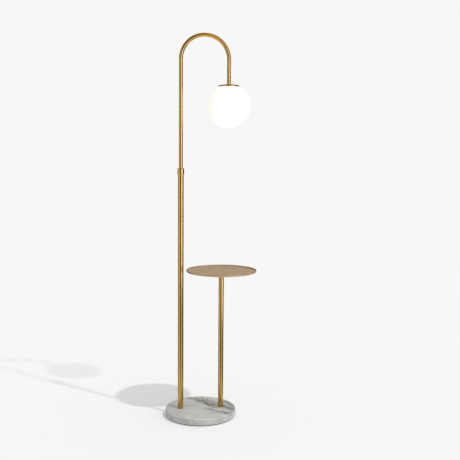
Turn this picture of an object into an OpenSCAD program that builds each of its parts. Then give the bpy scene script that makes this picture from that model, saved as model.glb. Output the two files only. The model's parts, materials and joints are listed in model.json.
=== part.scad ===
// Floor lamp with a tray: a marble base carries a telescopic gooseneck pole with a
// glass globe, and a second, shorter post with a round tray.
// Origin: centre of the base on the floor. +Z is up, both poles stand on the X axis,
// and the gooseneck hangs its globe towards +X. Lengths are in millimetres.

/* [Base] */
// Diameter of the marble disc
base_d = 292; // [260:1:340]
// Thickness of the marble disc
marble_t = 27; // [25:0.5:40]
// Rounding of the marble's edges
marble_edge_r = 1.6; // [0.5:0.1:4]
// Thickness of the foam pad under the base
pad_t = 3; // [2:0.5:5]
// How far the pad stands in from the marble's edge
pad_inset = 5; // [3:0.5:12]
// Thickness of the steel plate let into the underside
plate_t = 3; // [2.5:0.25:5]
// How far the plate reaches past the fixing pockets
plate_margin = 4; // [3:0.5:8]
// Radius of the fixing pocket under each pole
pocket_r = 22; // [18:0.5:25]
// Height of the pockets and the wiring trench
pocket_h = 14; // [13:0.5:16]
// Width of the wiring trench
trench_w = 9; // [7:0.5:12]
// Diameter of the supply cord's hole in the cable gland
cord_hole_d = 7.2; // [6:0.1:8.5]
// Diameter of the cable gland's barrel
gland_d = 12.9; // [11.5:0.1:13]
// Diameter of the cable gland's flange
gland_flange_d = 17; // [15:0.5:18]
// Thickness of the cable gland's flange
gland_flange_t = 3; // [2.5:0.25:4]
// Length of the cable gland's barrel behind its flange
gland_len = 22; // [16:1:28]

/* [Wiring] */
// Diameter of the lamp's inner lead
lead_d = 4.4; // [3.6:0.1:5]
// Width of the terminal block
block_w = 18; // [14:0.5:24]
// Length of the terminal block
block_l = 22; // [18:0.5:30]
// Distance from the base's centre to the terminal block
block_y = 32; // [26:1:45]

/* [Poles] */
// Distance between the main pole and the tray post
pole_gap = 168; // [140:1:190]
// Diameter of the main pole
pole_d = 23; // [20:0.5:28]
// Wall of the main pole
pole_wall = 1.2; // [1:0.1:1.5]
// Length of the main pole's tube
pole_len = 975; // [700:5:1100]
// Diameter of the tray post
post_d = 21; // [16:0.5:25]
// Wall of the tray post
post_wall = 1.2; // [1:0.1:2]
// Length of the tray post's tube
post_len = 572; // [400:1:700]

/* [Fixings] */
// Diameter of the threaded rods and nipples
rod_d = 10; // [9:0.5:11]
// Bore of the hollow nipples
nipple_bore_d = 7; // [5.8:0.1:7.5]
// How far a rod reaches up into its plug
rod_grip = 18; // [12:1:22]
// Length of the turned plugs in the tube ends
plug_len = 24; // [23:1:32]
// Width across the flats of the nuts
nut_af = 17; // [15:0.5:19]
// Thickness of the nuts under the base
nut_t = 5; // [4:0.5:6]
// Diameter of the washers under the base
washer_d = 30; // [24:1:34]
// Thickness of the washers under the base
washer_t = 2; // [1.5:0.25:2.5]
// How far a rod stands out under its nut
rod_proud = 1.3; // [1:0.1:1.5]
// Diameter of the plate screws
screw_d = 5; // [4:0.5:5.5]
// Diameter of the plate screws' heads
screw_head_d = 9.6; // [8:0.2:11]
// Length of the plate screws
screw_len = 11; // [9:0.5:14]
// Diameter of the threaded inserts in the marble
insert_d = 8; // [7:0.5:10]
// Length of the threaded inserts
insert_len = 10; // [8:0.5:13]

/* [Telescopic joint] */
// Diameter of the locking collar
collar_d = 27; // [26:0.5:30]
// Height of the locking collar
collar_h = 25; // [22:0.5:32]
// Thickness of the locking collar's top lip
collar_lip_t = 3; // [2:0.25:5]
// Rounding of the locking collar's edges
collar_edge_r = 3; // [0.5:0.25:4]
// Height of the ferrule's threaded nose
nose_h = 20; // [16:0.5:21]
// Wall of the nose around the grip ring
nose_wall = 1.1; // [0.8:0.1:1.3]
// Length of the ferrule's spigot in the main pole
spigot_len = 25; // [18:1:35]
// Depth of the grip ring's seat in the nose
grip_depth = 10; // [7:0.5:12]
// Length of gooseneck inside the main pole when it is fully drawn out
neck_overlap = 120; // [100:5:160]
// Length of the guide bush at the gooseneck's foot
bush_len = 23; // [16:1:30]
// Thickness of the guide bush's bottom lip
bush_lip_t = 3; // [2:0.5:5]
// Height of the stop ring on the gooseneck
stop_h = 8; // [5:0.5:12]
// Length of the grommet in the gooseneck's foot
grommet_len = 8; // [5:0.5:12]

/* [Gooseneck] */
// Diameter of the gooseneck tube
neck_d = 16; // [15:0.25:16.5]
// Wall of the gooseneck tube
neck_wall = 1.2; // [1:0.1:1.3]
// Height of the gooseneck's straight leg above the main pole
neck_rise = 461; // [300:1:560]
// Radius of the arch, to the tube's centre line
bend_r = 97; // [80:1:115]
// Length of the straight drop from the arch to the cap
neck_drop = 97.5; // [60:0.5:150]

/* [Cap and globe] */
// Diameter of the spun cap over the globe
cap_d = 86; // [83:0.5:90]
// Thickness of the cap's metal
cap_t = 1.2; // [0.8:0.1:1.5]
// Height of the cap's dome
dome_h = 7.5; // [5:0.5:8]
// Radius of the flat seat on top of the cap
seat_r = 9.5; // [9:0.5:12]
// Outer diameter of the glass globe
globe_d = 175; // [160:1:210]
// Thickness of the glass
glass_t = 3; // [2:0.25:3.5]
// Diameter of the opening at the top of the globe
mouth_d = 72; // [70:0.5:73]
// Depth of the globe's opening below the cap's top
mouth_depth = 6.9; // [6.7:0.1:8]
// Thickness of the spring plate that holds the globe
spring_t = 0.8; // [0.6:0.1:1]
// Width of the globe's spring arms
spring_w = 9; // [6:0.5:12]
// Number of spring arms
spring_count = 3; // [3:1:4]
// Thickness of the nut under the cap
cap_nut_t = 4; // [3:0.5:4.5]

/* [Lampholder and bulb] */
// Diameter of the lampholder's skirt
holder_d = 40; // [38:0.5:44]
// Height of the lampholder's top cover
holder_top_h = 18.5; // [17:0.5:22]
// Height of the lampholder's skirt
holder_skirt_h = 28; // [26:0.5:32]
// Diameter over the bulb's screw cap
bulb_cap_d = 26; // [25:0.1:26.4]
// Diameter of the bulb
bulb_d = 60; // [50:1:64]
// Height from the bulb's screw cap to the centre of its dome
bulb_neck_h = 46; // [38:1:50]

/* [Tray] */
// Diameter of the tray
tray_d = 290; // [220:1:320]
// Height of the tray's rim
tray_h = 7.5; // [6:0.5:20]
// Thickness of the tray's metal
tray_t = 2; // [1.2:0.1:2.5]
// Outer radius of the bend under the tray's rim
tray_bend_r = 3.5; // [3:0.25:4]
// Diameter of the flange under the tray
flange_d = 70; // [50:1:90]
// Thickness of the flange under the tray
flange_t = 3; // [2:0.5:5]

/* [Fits] */
// Radial clearance of a sliding or turning fit
run_fit = 0.05; // [0.02:0.01:0.1]
// Radial clearance of a thread
thread_fit = 0.03; // [0.02:0.01:0.06]
// Radial clearance of a piece pressed or glued into its hole
seat_fit = 0.02; // [0.01:0.01:0.05]
// Gap between pieces that lie close but don't bear on each other
gap = 0.3; // [0.2:0.05:0.5]
// Radial clearance of a plain through hole
hole_gap = 0.2; // [0.1:0.05:0.5]

/* [Hidden] */
$fn = 96;

// Heights in the base
marble_z = pad_t;
plate_top_z = marble_z + plate_t;
pocket_z = plate_top_z + pocket_h;
base_z = marble_z + marble_t;

// Places of the upright axes
pole_x = -pole_gap / 2;
post_x = pole_gap / 2;
head_x = pole_x + 2 * bend_r;

// Radii that several pieces share
base_r = base_d / 2;
plate_r = pole_gap / 2 + pocket_r + plate_margin;
pole_r = pole_d / 2;
pole_bore_r = pole_r - pole_wall;
post_r = post_d / 2;
post_bore_r = post_r - post_wall;
rod_r = rod_d / 2;
thread_r = rod_r + thread_fit;
neck_r = neck_d / 2;
neck_bore_r = neck_r - neck_wall;
lead_r = lead_d / 2;
globe_r = globe_d / 2;
mouth_r = mouth_d / 2;
cap_r = cap_d / 2;

// The stack of fixings under the base
base_nut_z = pocket_z - washer_t - nut_t;
rod_foot_z = base_nut_z - rod_proud;
rod_top_z = base_z + rod_grip;

// Plate screws stand on a circle just inside the plate's edge
plate_screw_r = plate_r - screw_head_d;
plate_screw_angles = [45, 135, 225, 315];
screw_head_h = (screw_head_d - screw_d) / 2;

// Cable gland, level with the middle of the wiring trench
gland_z = plate_top_z + pocket_h / 2;
gland_hole_r = gland_d / 2 + run_fit;
gland_recess = 2;
trench_end_y = plate_r - screw_head_d;
block_clear = 4;
terminal_screw_r = 2;
terminal_screw_len = 5;
slot_w = 0.6;

// The inner lead: bends are just under four of its diameters
lead_lift = 0.6;
lead_z = plate_top_z + lead_r + lead_lift;
lead_rise_r = 5;
lead_turn_r = 16;

// The telescopic joint
pole_top_z = base_z + pole_len;
nose_inset = 0.1;
nose_r = pole_r - nose_inset;
grip_slit_w = 1.2;
nose_top_z = pole_top_z + nose_h;
grip_seat_z = nose_top_z - grip_depth;
collar_z = pole_top_z + gap;
collar_lip_z = collar_z + collar_h - collar_lip_t;
neck_foot_z = pole_top_z - neck_overlap;
stop_z = pole_top_z - spigot_len - gap - stop_h;
lead_join_z = neck_foot_z + grommet_len + 2;

// The gooseneck
spring_line_z = pole_top_z + neck_rise;
cap_z = spring_line_z - neck_drop;

// Depths below the cap's top, along the globe's axis
spring_plate_d = cap_t + spring_t;
cap_washer_t = 1;
cap_washer_r = rod_r + 4;
cap_nut_af = nut_af - 3;
cap_nut_d = spring_plate_d + cap_washer_t + cap_nut_t;
holder_d0 = cap_nut_d + 0.5;
holder_thread = 9;
holder_wall = 2;
holder_cone_h = 6;
skirt_d0 = holder_d0 + holder_top_h;
skirt_lip = 4;
skirt_band_h = 6;
contact_block_t = 3.2;
tongue_r = 3;
tongue_t = 1;
shell_t = 0.55;
shell_r = bulb_cap_d / 2 + gap;
shell_d0 = skirt_d0 + contact_block_t;
bulb_cap_d0 = shell_d0 + 3.5;
bulb_cap_h = 24;
bulb_body_d0 = bulb_cap_d0 + bulb_cap_h;
bulb_centre_d = bulb_body_d0 + bulb_neck_h;
bulb_join_share = 0.18;
bulb_join_d = bulb_centre_d - bulb_d * bulb_join_share;
bulb_wall = 1.5;
bulb_thread_pitch = 3.6;
bulb_thread_turns = 5;
bulb_thread_depth = 0.8;
globe_drop = mouth_depth + sqrt(globe_r * globe_r - mouth_r * mouth_r);

// The tray
tray_z = base_z + post_len + flange_t;

brass = [0.72, 0.56, 0.31];
steel = [0.70, 0.71, 0.72];
phenolic = [0.12, 0.12, 0.12];

// Round tube that stands on z
module tube(r, bore_r, z, h) {
    translate([0, 0, z]) difference() {
        cylinder(r = r, h = h);
        translate([0, 0, -1]) cylinder(r = bore_r, h = h + 2);
    }
}

// Half section of a disc with both edges rounded
module disc_section(r, z, h, edge) {
    translate([0, z]) square([r - edge, h]);
    translate([0, z + edge]) square([r, h - 2 * edge]);
    for (corner_z = [z + edge, z + h - edge]) translate([r - edge, corner_z]) circle(edge);
}

// Hexagonal nut whose underside is at z
module nut(af, bore_r, z, h) {
    translate([0, 0, z]) difference() {
        cylinder(r = af / 2 / cos(30), h = h, $fn = 6);
        translate([0, 0, -1]) cylinder(r = bore_r, h = h + 2);
    }
}

module at_pole() translate([pole_x, 0, 0]) children();
module at_post() translate([post_x, 0, 0]) children();
module at_both() for (x = [pole_x, post_x]) translate([x, 0, 0]) children();
module at_head() translate([head_x, 0, cap_z]) children();
module at_plate_screws()
    for (a = plate_screw_angles) rotate(a) translate([plate_screw_r, 0, 0]) children();
module along_y(y) translate([0, y, 0]) rotate([-90, 0, 0]) children();

// Base

// Pockets for the fixings, the wiring trench and the terminal block's bay
module base_hollows() {
    cut_z = plate_top_z - 1;
    cut_h = pocket_h + 1;
    at_both() translate([0, 0, cut_z]) cylinder(r = pocket_r, h = cut_h);
    translate([pole_x, -trench_w / 2, cut_z]) cube([trench_w / 2 - pole_x, trench_w, cut_h]);
    translate([-trench_w / 2, -trench_w / 2, cut_z]) cube([trench_w, trench_end_y + trench_w / 2, cut_h]);
    translate([-block_w / 2 - block_clear, block_y - block_clear, cut_z])
        cube([block_w + 2 * block_clear, block_l + 2 * block_clear, cut_h]);
    // The trench's inner corner is round, to follow the lead
    translate([-lead_turn_r, 0, cut_z]) difference() {
        cube([lead_turn_r, lead_turn_r, cut_h]);
        translate([0, lead_turn_r, -1]) cylinder(r = lead_turn_r - trench_w / 2, h = cut_h + 2);
    }
}

module marble_base() color([0.86, 0.86, 0.84]) difference() {
    rotate_extrude() disc_section(base_r, marble_z, marble_t, marble_edge_r);
    translate([0, 0, marble_z - 1]) cylinder(r = plate_r + gap, h = plate_t + 1);
    base_hollows();
    at_both() cylinder(r = rod_r + hole_gap, h = base_z + 1);
    at_plate_screws() translate([0, 0, plate_top_z - 1])
        cylinder(r = insert_d / 2 + seat_fit, h = insert_len + 1);
    translate([0, 0, gland_z]) along_y(trench_end_y - 1)
        cylinder(r = gland_hole_r, h = base_r - trench_end_y + 2);
    translate([0, 0, gland_z]) along_y(base_r - gland_recess)
        cylinder(r = gland_flange_d / 2 + gap, h = gland_recess + 1);
}

module base_pad() color([0.13, 0.13, 0.14]) cylinder(r = base_r - pad_inset, h = pad_t);

module base_plate() color(steel) difference() {
    hole_r = screw_d / 2 + hole_gap;
    translate([0, 0, marble_z]) cylinder(r = plate_r, h = plate_t);
    at_plate_screws() {
        cylinder(r = hole_r, h = plate_top_z + 1);
        translate([0, 0, marble_z])
            cylinder(r1 = screw_head_d / 2 + hole_gap, r2 = hole_r, h = screw_head_h);
    }
}

module plate_inserts() color(brass)
    at_plate_screws() tube(insert_d / 2, screw_d / 2 + thread_fit, plate_top_z, insert_len);

module plate_screws() color(steel) at_plate_screws() translate([0, 0, marble_z]) {
    cylinder(r = screw_d / 2, h = screw_len);
    cylinder(r1 = screw_head_d / 2, r2 = screw_d / 2, h = screw_head_h);
}

module cable_gland() color(phenolic) translate([0, 0, gland_z]) along_y(base_r - gland_recess) difference() {
    union() {
        cylinder(r = gland_flange_d / 2, h = gland_flange_t);
        translate([0, 0, -gland_len]) cylinder(r = gland_d / 2, h = gland_len + 1);
    }
    translate([0, 0, -gland_len - 1]) cylinder(r = cord_hole_d / 2, h = gland_len + gland_flange_t + 2);
}

module at_terminal_screws()
    for (side = [-1, 1]) translate([side * block_w / 4, block_y + block_l / 2, 0]) children();

module terminal_block() color([0.93, 0.92, 0.88]) difference() {
    foot_gap = 0.5;
    translate([-block_w / 2, block_y, plate_top_z + foot_gap])
        cube([block_w, block_l, pocket_h - foot_gap]);
    at_terminal_screws() cylinder(r = terminal_screw_r + seat_fit, h = gland_z);
}

// Slotted screws, turned from below
module terminal_screws() color(steel) at_terminal_screws()
    translate([0, 0, gland_z - terminal_screw_len]) difference() {
        cylinder(r = terminal_screw_r, h = terminal_screw_len);
        translate([-terminal_screw_r - 1, -slot_w / 2, -1]) cube([2 * terminal_screw_r + 2, slot_w, 2]);
    }

module base_washers() color(steel) at_both()
    tube(washer_d / 2, rod_r + hole_gap, pocket_z - washer_t, washer_t);

module base_nuts() color(steel) at_both() nut(nut_af, thread_r, base_nut_z, nut_t);

// Main pole

module pole_nipple() color(steel) at_pole()
    tube(rod_r, nipple_bore_d / 2, rod_foot_z, rod_top_z - rod_foot_z);

module pole_foot_plug() color(steel) at_pole() tube(pole_bore_r - seat_fit, thread_r, base_z, plug_len);

module pole_tube() color(brass) at_pole() tube(pole_r, pole_bore_r, base_z, pole_len);

// Threaded ferrule: a spigot glued into the pole, and a nose that takes the grip ring and the collar
module pole_ferrule() color(brass) at_pole() difference() {
    union() {
        translate([0, 0, pole_top_z - spigot_len]) cylinder(r = pole_bore_r - seat_fit, h = spigot_len + 1);
        translate([0, 0, pole_top_z]) cylinder(r = nose_r, h = nose_h);
    }
    translate([0, 0, pole_top_z - spigot_len - 1]) cylinder(r = neck_r + gap, h = spigot_len + nose_h + 2);
    translate([0, 0, grip_seat_z]) cylinder(r = nose_r - nose_wall, h = grip_depth + 1);
}

// Split nylon ring that the collar squeezes onto the gooseneck
module grip_ring() color([0.9, 0.9, 0.86]) at_pole() difference() {
    tube(nose_r - nose_wall - run_fit, neck_r + run_fit, grip_seat_z, collar_lip_z - gap - grip_seat_z);
    translate([-grip_slit_w / 2, 0, grip_seat_z - 1]) cube([grip_slit_w, pole_r, collar_h]);
}

module lock_collar() color(brass) at_pole() difference() {
    rotate_extrude() disc_section(collar_d / 2, collar_z, collar_h, collar_edge_r);
    translate([0, 0, collar_z - 1]) cylinder(r = nose_r + run_fit, h = collar_h - collar_lip_t + 1);
    translate([0, 0, collar_z]) cylinder(r = neck_r + gap, h = collar_h + 1);
}

// Gooseneck

// Nylon bush that slides in the pole and carries the gooseneck's foot on its lip
module guide_bush() color([0.9, 0.9, 0.86]) at_pole() difference() {
    translate([0, 0, neck_foot_z - bush_lip_t])
        cylinder(r = pole_bore_r - run_fit, h = bush_len + bush_lip_t);
    translate([0, 0, neck_foot_z]) cylinder(r = neck_r + run_fit, h = bush_len + 1);
    translate([0, 0, neck_foot_z - bush_lip_t - 1]) cylinder(r = neck_bore_r, h = bush_lip_t + 2);
}

// Solid run of radius r that follows the gooseneck from one height round to another
module neck_run(r, from_z, to_z) {
    at_pole() translate([0, 0, from_z]) cylinder(r = r, h = spring_line_z - from_z);
    translate([pole_x + bend_r, 0, spring_line_z]) rotate([90, 0, 0])
        rotate_extrude(angle = 180) translate([bend_r, 0]) circle(r);
    translate([head_x, 0, to_z]) cylinder(r = r, h = spring_line_z - to_z);
}

module gooseneck_tube() color(brass) difference() {
    neck_run(neck_r, neck_foot_z, cap_z);
    neck_run(neck_bore_r, neck_foot_z - 1, cap_z - 1);
}

module neck_grommet() color(phenolic) at_pole()
    tube(neck_bore_r - seat_fit, lead_r + 1, neck_foot_z, grommet_len);

module stop_ring() color(steel) at_pole() tube(pole_bore_r - gap, neck_r + seat_fit, stop_z, stop_h);

// Lead from the terminal block, along the trench and up the pole
module pole_lead() color(phenolic) {
    at_pole() translate([0, 0, lead_z + lead_rise_r])
        cylinder(r = lead_r, h = lead_join_z - lead_z - lead_rise_r);
    translate([pole_x + lead_rise_r, 0, lead_z + lead_rise_r]) rotate([90, 0, 0]) rotate(180)
        rotate_extrude(angle = 90) translate([lead_rise_r, 0]) circle(lead_r);
    translate([pole_x + lead_rise_r, 0, lead_z]) rotate([0, 90, 0])
        cylinder(r = lead_r, h = -pole_x - lead_rise_r - lead_turn_r);
    translate([-lead_turn_r, lead_turn_r, lead_z]) rotate(-90)
        rotate_extrude(angle = 90) translate([lead_turn_r, 0]) circle(lead_r);
    translate([0, 0, lead_z]) along_y(lead_turn_r) cylinder(r = lead_r, h = block_y - lead_turn_r);
}

module gooseneck_lead() color(phenolic) neck_run(lead_r, lead_join_z, cap_z - skirt_d0);

// Head, drawn downwards from the cap's top

module head_plug() color(steel) at_head() tube(neck_bore_r - seat_fit, thread_r, 0, rod_grip);

module head_nipple() color(steel) at_head()
    tube(rod_r, nipple_bore_d / 2, -holder_d0 - holder_thread, holder_d0 + holder_thread + rod_grip - 2);

// Drop of the cap's outer face below its top: a quarter of an ellipse outside the flat seat
function dome_share(r) = max(0, min(1, (r - seat_r) / (cap_r - seat_r)));
function dome_fall(r) = dome_h * (1 - sqrt(1 - pow(dome_share(r), 2)));
dome_steps = 12;
function dome_r(i, rim) = seat_r + (rim - seat_r) * sin(90 * i / dome_steps);

// The skirt ends just above the globe
function cap_depth() = globe_drop - sqrt(pow(globe_r, 2) - pow(cap_r - cap_t, 2)) - gap;

module shade_cap() color(brass) at_head() rotate_extrude() polygon(concat(
    [[rod_r + hole_gap, 0]],
    [for (i = [0:dome_steps]) [dome_r(i, cap_r), -dome_fall(dome_r(i, cap_r))]],
    [[cap_r, -cap_depth()], [cap_r - cap_t, -cap_depth()]],
    [for (i = [dome_steps:-1:0]) [dome_r(i, cap_r - cap_t), -dome_fall(dome_r(i, cap_r - cap_t)) - cap_t]],
    [[rod_r + hole_gap, -cap_t]]
));

// Soft ring between the cap and the globe's edge
module cap_gasket() color([0.85, 0.85, 0.83]) at_head() {
    ring_r = mouth_r + glass_t;
    top = -dome_fall(ring_r) - cap_t - gap / 3;
    tube(ring_r, mouth_r - 0.5, -mouth_depth + gap, top + mouth_depth - gap);
}

function unit(v) = v / norm(v);
function side_of(path, i) = let (
    step = unit(path[min(i + 1, len(path) - 1)] - path[max(i - 1, 0)])
) [-step[1], step[0]];
// Outline of a strip of thickness t along a path
function strip(path, t) = concat(
    [for (i = [0:len(path) - 1]) path[i] + side_of(path, i) * t / 2],
    [for (i = [len(path) - 1:-1:0]) path[i] - side_of(path, i) * t / 2]
);

// Spring plate: each arm reaches through the globe's mouth and bulges out under the glass
module globe_springs() color(steel) at_head() {
    glass_under = globe_drop - sqrt(pow(globe_r - glass_t, 2) - pow(mouth_r, 2));
    mid = cap_t + spring_t / 2;
    crook_r = mouth_r - 14;
    arm = [
        [seat_r - 2, -mid], [seat_r, -mid],
        [crook_r, -dome_fall(crook_r) - mid - 0.4], [mouth_r - 5, -mouth_depth + 1.6],
        [mouth_r - 1.2, -mouth_depth - 1], [mouth_r - 1, -glass_under],
        [mouth_r + 1.4, -glass_under - 4.5], [mouth_r - 7, -glass_under - 16]
    ];
    difference() {
        union() {
            translate([0, 0, -spring_plate_d]) cylinder(r = seat_r, h = spring_t);
            for (i = [0:spring_count - 1]) rotate(i * 360 / spring_count + 90) rotate([90, 0, 0])
                linear_extrude(height = spring_w, center = true) polygon(strip(arm, spring_t));
        }
        translate([0, 0, -spring_plate_d - 1]) cylinder(r = rod_r + hole_gap, h = spring_t + 2);
    }
}

module cap_washer() color(steel) at_head()
    tube(cap_washer_r, rod_r + hole_gap, -spring_plate_d - cap_washer_t, cap_washer_t);

module cap_nut() color(steel) at_head() nut(cap_nut_af, thread_r, -cap_nut_d, cap_nut_t);

// Lampholder

module lampholder_top() color(phenolic) at_head() {
    r = holder_d / 2 - 1;
    rotate_extrude() polygon([
        [thread_r, -holder_d0], [cap_washer_r, -holder_d0], [r, -holder_d0 - holder_cone_h],
        [r, -skirt_d0], [r - holder_wall, -skirt_d0],
        [r - holder_wall, -holder_d0 - holder_thread], [thread_r, -holder_d0 - holder_thread]
    ]);
}

module lampholder_skirt() color(phenolic) at_head() {
    r = holder_d / 2;
    bore = shell_r + shell_t + hole_gap;
    foot = skirt_d0 + holder_skirt_h;
    rotate_extrude() polygon([
        [r - skirt_lip, -skirt_d0], [r - 0.5, -skirt_d0], [r, -skirt_d0 - 1],
        [r, -skirt_d0 - skirt_band_h], [r - holder_wall, -skirt_d0 - skirt_band_h - holder_wall],
        [r - holder_wall, -foot], [bore, -foot], [bore, -shell_d0], [r - skirt_lip, -shell_d0]
    ]);
}

module contact_block() color([0.9, 0.88, 0.84]) at_head()
    translate([0, 0, -shell_d0]) cylinder(r = holder_d / 2 - skirt_lip - gap, h = contact_block_t);

// Screw shell and the tongue that meets the bulb's tip
module holder_contacts() color(brass) at_head() {
    shell_h = holder_skirt_h - contact_block_t - 2;
    tube(shell_r + shell_t, shell_r, -shell_d0 - shell_h, shell_h);
    translate([0, 0, -shell_d0 - tongue_t]) cylinder(r = tongue_r, h = tongue_t);
}

// Bulb

module bulb_screw_cap() color(steel) at_head() {
    r = bulb_cap_d / 2;
    ridge_foot = r - 2 * bulb_thread_depth;
    ridge_h = 1.4;
    translate([0, 0, -bulb_body_d0]) cylinder(r = r - bulb_thread_depth, h = bulb_cap_h);
    for (i = [1:bulb_thread_turns]) translate([0, 0, -bulb_cap_d0 - i * bulb_thread_pitch])
        rotate_extrude() polygon([[ridge_foot, -ridge_h], [r, 0], [ridge_foot, ridge_h]]);
    translate([0, 0, -bulb_cap_d0]) cylinder(r1 = r - 3, r2 = 5, h = 2.2);
}

module bulb_body() color([0.94, 0.94, 0.92]) at_head() {
    join_r = sqrt(pow(bulb_d / 2, 2) - pow(bulb_centre_d - bulb_join_d, 2));
    translate([0, 0, -bulb_join_d])
        cylinder(r1 = join_r, r2 = bulb_cap_d / 2 + 0.4, h = bulb_join_d - bulb_body_d0);
}

module bulb_dome() color([1, 0.98, 0.92]) at_head() difference() {
    translate([0, 0, -bulb_centre_d]) sphere(r = bulb_d / 2);
    translate([0, 0, -bulb_centre_d]) sphere(r = bulb_d / 2 - bulb_wall);
    translate([0, 0, -bulb_join_d]) cylinder(r = bulb_d, h = bulb_d);
}

module glass_globe() color([1, 0.99, 0.95]) at_head() difference() {
    translate([0, 0, -globe_drop]) sphere(r = globe_r);
    translate([0, 0, -globe_drop]) sphere(r = globe_r - glass_t);
    translate([0, 0, -globe_drop]) cylinder(r = mouth_r, h = globe_d);
}

// Tray

module post_stud() color(steel) at_post() translate([0, 0, rod_foot_z])
    cylinder(r = rod_r, h = rod_top_z - rod_foot_z);

module post_foot_plug() color(steel) at_post()
    tube(post_bore_r - seat_fit, thread_r, base_z, plug_len);

module tray_post() color(brass) at_post() tube(post_r, post_bore_r, base_z, post_len);

module post_top_plug() color(steel) at_post()
    tube(post_bore_r - seat_fit, thread_r, base_z + post_len - plug_len, plug_len);

module tray_stud() color(steel) at_post() translate([0, 0, tray_z - flange_t - rod_grip])
    cylinder(r = rod_r, h = rod_grip + flange_t);

module tray_flange() color(brass) at_post()
    tube(flange_d / 2, rod_r + seat_fit, tray_z - flange_t, flange_t);

// Pressed pan: flat floor, rounded bend and a rim with a rounded top
module tray_pan() color(brass) at_post() translate([0, 0, tray_z]) rotate_extrude() {
    r = tray_d / 2;
    square([r - tray_bend_r, tray_t]);
    translate([r - tray_bend_r, tray_bend_r]) intersection() {
        difference() {
            circle(tray_bend_r);
            circle(tray_bend_r - tray_t);
        }
        translate([0, -tray_bend_r]) square(tray_bend_r);
    }
    translate([r - tray_t, tray_bend_r]) square([tray_t, tray_h - tray_bend_r - tray_t / 2]);
    translate([r - tray_t / 2, tray_h - tray_t / 2]) circle(tray_t / 2);
}

marble_base();
base_pad();
base_plate();
plate_inserts();
plate_screws();
cable_gland();
terminal_block();
terminal_screws();
base_washers();
base_nuts();
pole_nipple();
pole_foot_plug();
pole_tube();
pole_ferrule();
grip_ring();
lock_collar();
guide_bush();
gooseneck_tube();
neck_grommet();
stop_ring();
pole_lead();
gooseneck_lead();
head_plug();
head_nipple();
shade_cap();
cap_gasket();
globe_springs();
cap_washer();
cap_nut();
lampholder_top();
lampholder_skirt();
contact_block();
holder_contacts();
bulb_screw_cap();
bulb_body();
bulb_dome();
glass_globe();
post_stud();
post_foot_plug();
tray_post();
post_top_plug();
tray_stud();
tray_flange();
tray_pan();
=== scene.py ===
"""Floor lamp with a tray: a marble base, a telescopic brass pole whose gooseneck hangs an opal
globe, and a shorter post that carries a round tray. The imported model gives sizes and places."""

import json
import math
from collections import namedtuple

import bmesh
import bpy
from bpy.props import FloatProperty, FloatVectorProperty, IntProperty, PointerProperty
from mathutils import Matrix, Vector

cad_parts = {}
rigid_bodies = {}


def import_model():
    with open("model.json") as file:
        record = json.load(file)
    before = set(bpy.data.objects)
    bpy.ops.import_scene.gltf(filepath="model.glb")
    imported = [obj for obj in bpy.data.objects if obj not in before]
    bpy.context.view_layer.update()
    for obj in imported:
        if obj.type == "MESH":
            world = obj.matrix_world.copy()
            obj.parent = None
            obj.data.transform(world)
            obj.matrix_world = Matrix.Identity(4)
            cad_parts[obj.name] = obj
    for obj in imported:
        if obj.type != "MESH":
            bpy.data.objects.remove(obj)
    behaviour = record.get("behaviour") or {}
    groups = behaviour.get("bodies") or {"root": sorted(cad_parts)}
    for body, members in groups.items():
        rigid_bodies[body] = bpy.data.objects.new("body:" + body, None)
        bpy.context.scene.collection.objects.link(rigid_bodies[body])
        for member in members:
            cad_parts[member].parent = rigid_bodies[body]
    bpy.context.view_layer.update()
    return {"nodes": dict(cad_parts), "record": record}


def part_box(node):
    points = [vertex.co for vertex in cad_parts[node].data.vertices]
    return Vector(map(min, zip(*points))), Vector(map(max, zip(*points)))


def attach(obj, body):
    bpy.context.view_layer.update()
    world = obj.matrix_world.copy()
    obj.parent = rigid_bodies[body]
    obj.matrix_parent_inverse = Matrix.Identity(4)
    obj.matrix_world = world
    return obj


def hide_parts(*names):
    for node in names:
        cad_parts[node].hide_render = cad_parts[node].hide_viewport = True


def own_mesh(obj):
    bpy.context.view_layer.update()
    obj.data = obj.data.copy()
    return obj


bl_info = {
    "name": "Floor lamp with tray",
    "version": (1, 0, 0),
    "blender": (4, 5, 0),
    "location": "3D View > Sidebar > Floor lamp",
    "description": "Builds a brass floor lamp with an opal globe, a tray and a marble base",
    "category": "Object",
}

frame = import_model()

BODY_OF = {
    node: body
    for body, nodes in frame["record"]["behaviour"]["bodies"].items()
    for node in nodes
}
SLOT_OF = {part["node"]: part["material_slot"] for part in frame["record"]["subparts"]}
MM = 0.001
PICTURE_SIDE = 460
FINISH_ENDING = "_finish"

Upright = namedtuple("Upright", "x y radius foot top")


def upright(node):
    """Axis, radius and heights of a round CAD node that stands upright."""
    low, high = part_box(node)
    return Upright((low.x + high.x) / 2, (low.y + high.y) / 2, (high.y - low.y) / 2, low.z, high.z)


# Settings


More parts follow.
